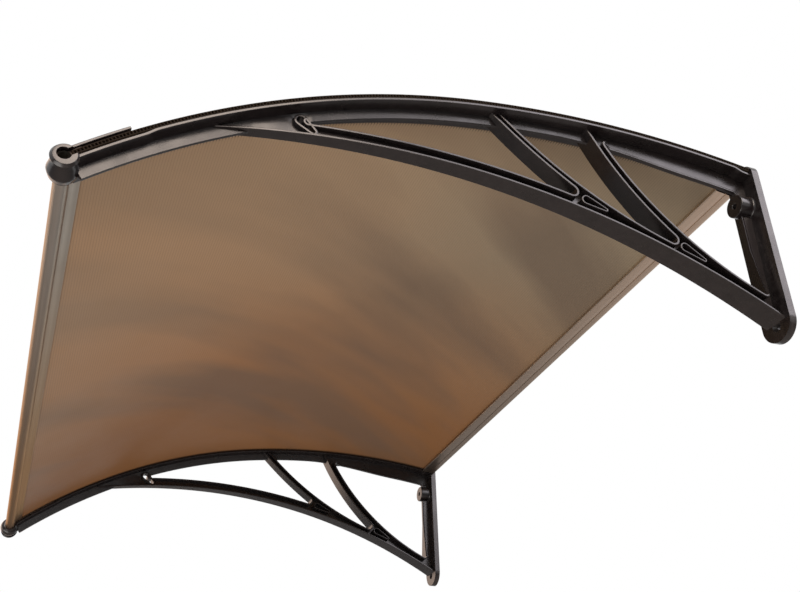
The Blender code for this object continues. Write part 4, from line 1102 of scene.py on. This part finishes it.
def worldLight():
    world = bpy.data.worlds.new("studioWorld")
    bpy.context.scene.world = world
    world.use_nodes = True
    tree = world.node_tree
    tree.nodes.clear()
    path = tree.nodes.new("ShaderNodeLightPath")
    mirrored = mathNode(tree, "MAXIMUM", path.outputs["Is Glossy Ray"], path.outputs["Is Transmission Ray"])
    white = mathNode(tree, "MAXIMUM", path.outputs["Is Camera Ray"], mirrored)
    seen = tree.nodes.new("ShaderNodeBackground")
    seen.inputs["Color"].default_value = (1.0, 1.0, 1.0, 1.0)
    seen.inputs["Strength"].default_value = 1.0
    lit = tree.nodes.new("ShaderNodeBackground")
    lit.inputs["Color"].default_value = (*studio["worldColour"], 1.0)
    lit.inputs["Strength"].default_value = studio["worldLight"]
    mix = tree.nodes.new("ShaderNodeMixShader")
    out = tree.nodes.new("ShaderNodeOutputWorld")
    tree.links.new(white, mix.inputs["Fac"])
    tree.links.new(lit.outputs[0], mix.inputs[1])
    tree.links.new(seen.outputs[0], mix.inputs[2])
    tree.links.new(mix.outputs[0], out.inputs["Surface"])


def studioFloor():
    bm = bmesh.new()
    bmesh.ops.create_grid(bm, x_segments=1, y_segments=1, size=studio["floorSize"] / 2.0)
    bmesh.ops.translate(bm, vec=(0.0, 0.0, studio["floorZ"]), verts=bm.verts)
    mesh = bpy.data.meshes.new("studioFloor")
    bm.to_mesh(mesh)
    bm.free()
    material = bpy.data.materials.new("paleFloor")
    material.use_nodes = True
    shader = material.node_tree.nodes["Principled BSDF"]
    shader.inputs["Base Color"].default_value = (*studio["floorColour"], 1.0)
    shader.inputs["Roughness"].default_value = 0.9
    mesh.materials.append(material)
    floor = bpy.data.objects.new("studioFloor", mesh)
    bpy.context.scene.collection.objects.link(floor)


def studioLamp(name, place, aim, width, height, watts, colour):
    data = bpy.data.lights.new(name, "AREA")
    data.shape = "RECTANGLE"
    data.size = width
    data.size_y = height
    data.energy = watts
    data.color = colour
    lamp = bpy.data.objects.new(name, data)
    lamp.location = place
    lamp.rotation_euler = (Vector(aim) - Vector(place)).to_track_quat("-Z", "Y").to_euler()
    lamp.visible_camera = False
    bpy.context.scene.collection.objects.link(lamp)


def photoCamera():
    heading, tilt, roll = (radians(studio[name]) for name in ("heading", "tilt", "roll"))
    ahead = Vector((-cos(heading) * cos(tilt), sin(heading) * cos(tilt), sin(tilt)))
    right = ahead.cross(Vector((0.0, 0.0, 1.0))).normalized()
    up = right.cross(ahead)
    sideways = right * cos(roll) + up * sin(roll)
    upwards = up * cos(roll) - right * sin(roll)
    data = bpy.data.cameras.new("photoCamera")
    data.lens = studio["lens"]
    data.sensor_width = studio["sensor"]
    data.clip_start = 0.01
    camera = bpy.data.objects.new("photoCamera", data)
    turn = Matrix((sideways, upwards, -ahead)).transposed().to_4x4()
    camera.matrix_world = Matrix.Translation(studio["cameraPlace"]) @ turn
    bpy.context.scene.collection.objects.link(camera)
    bpy.context.scene.camera = camera


worldLight()
studioFloor()
for lampName, facts in studio["lamps"].items():
    studioLamp(lampName, *facts)
photoCamera()
bpy.context.scene.view_settings.view_transform = "Standard"
print("studio made")
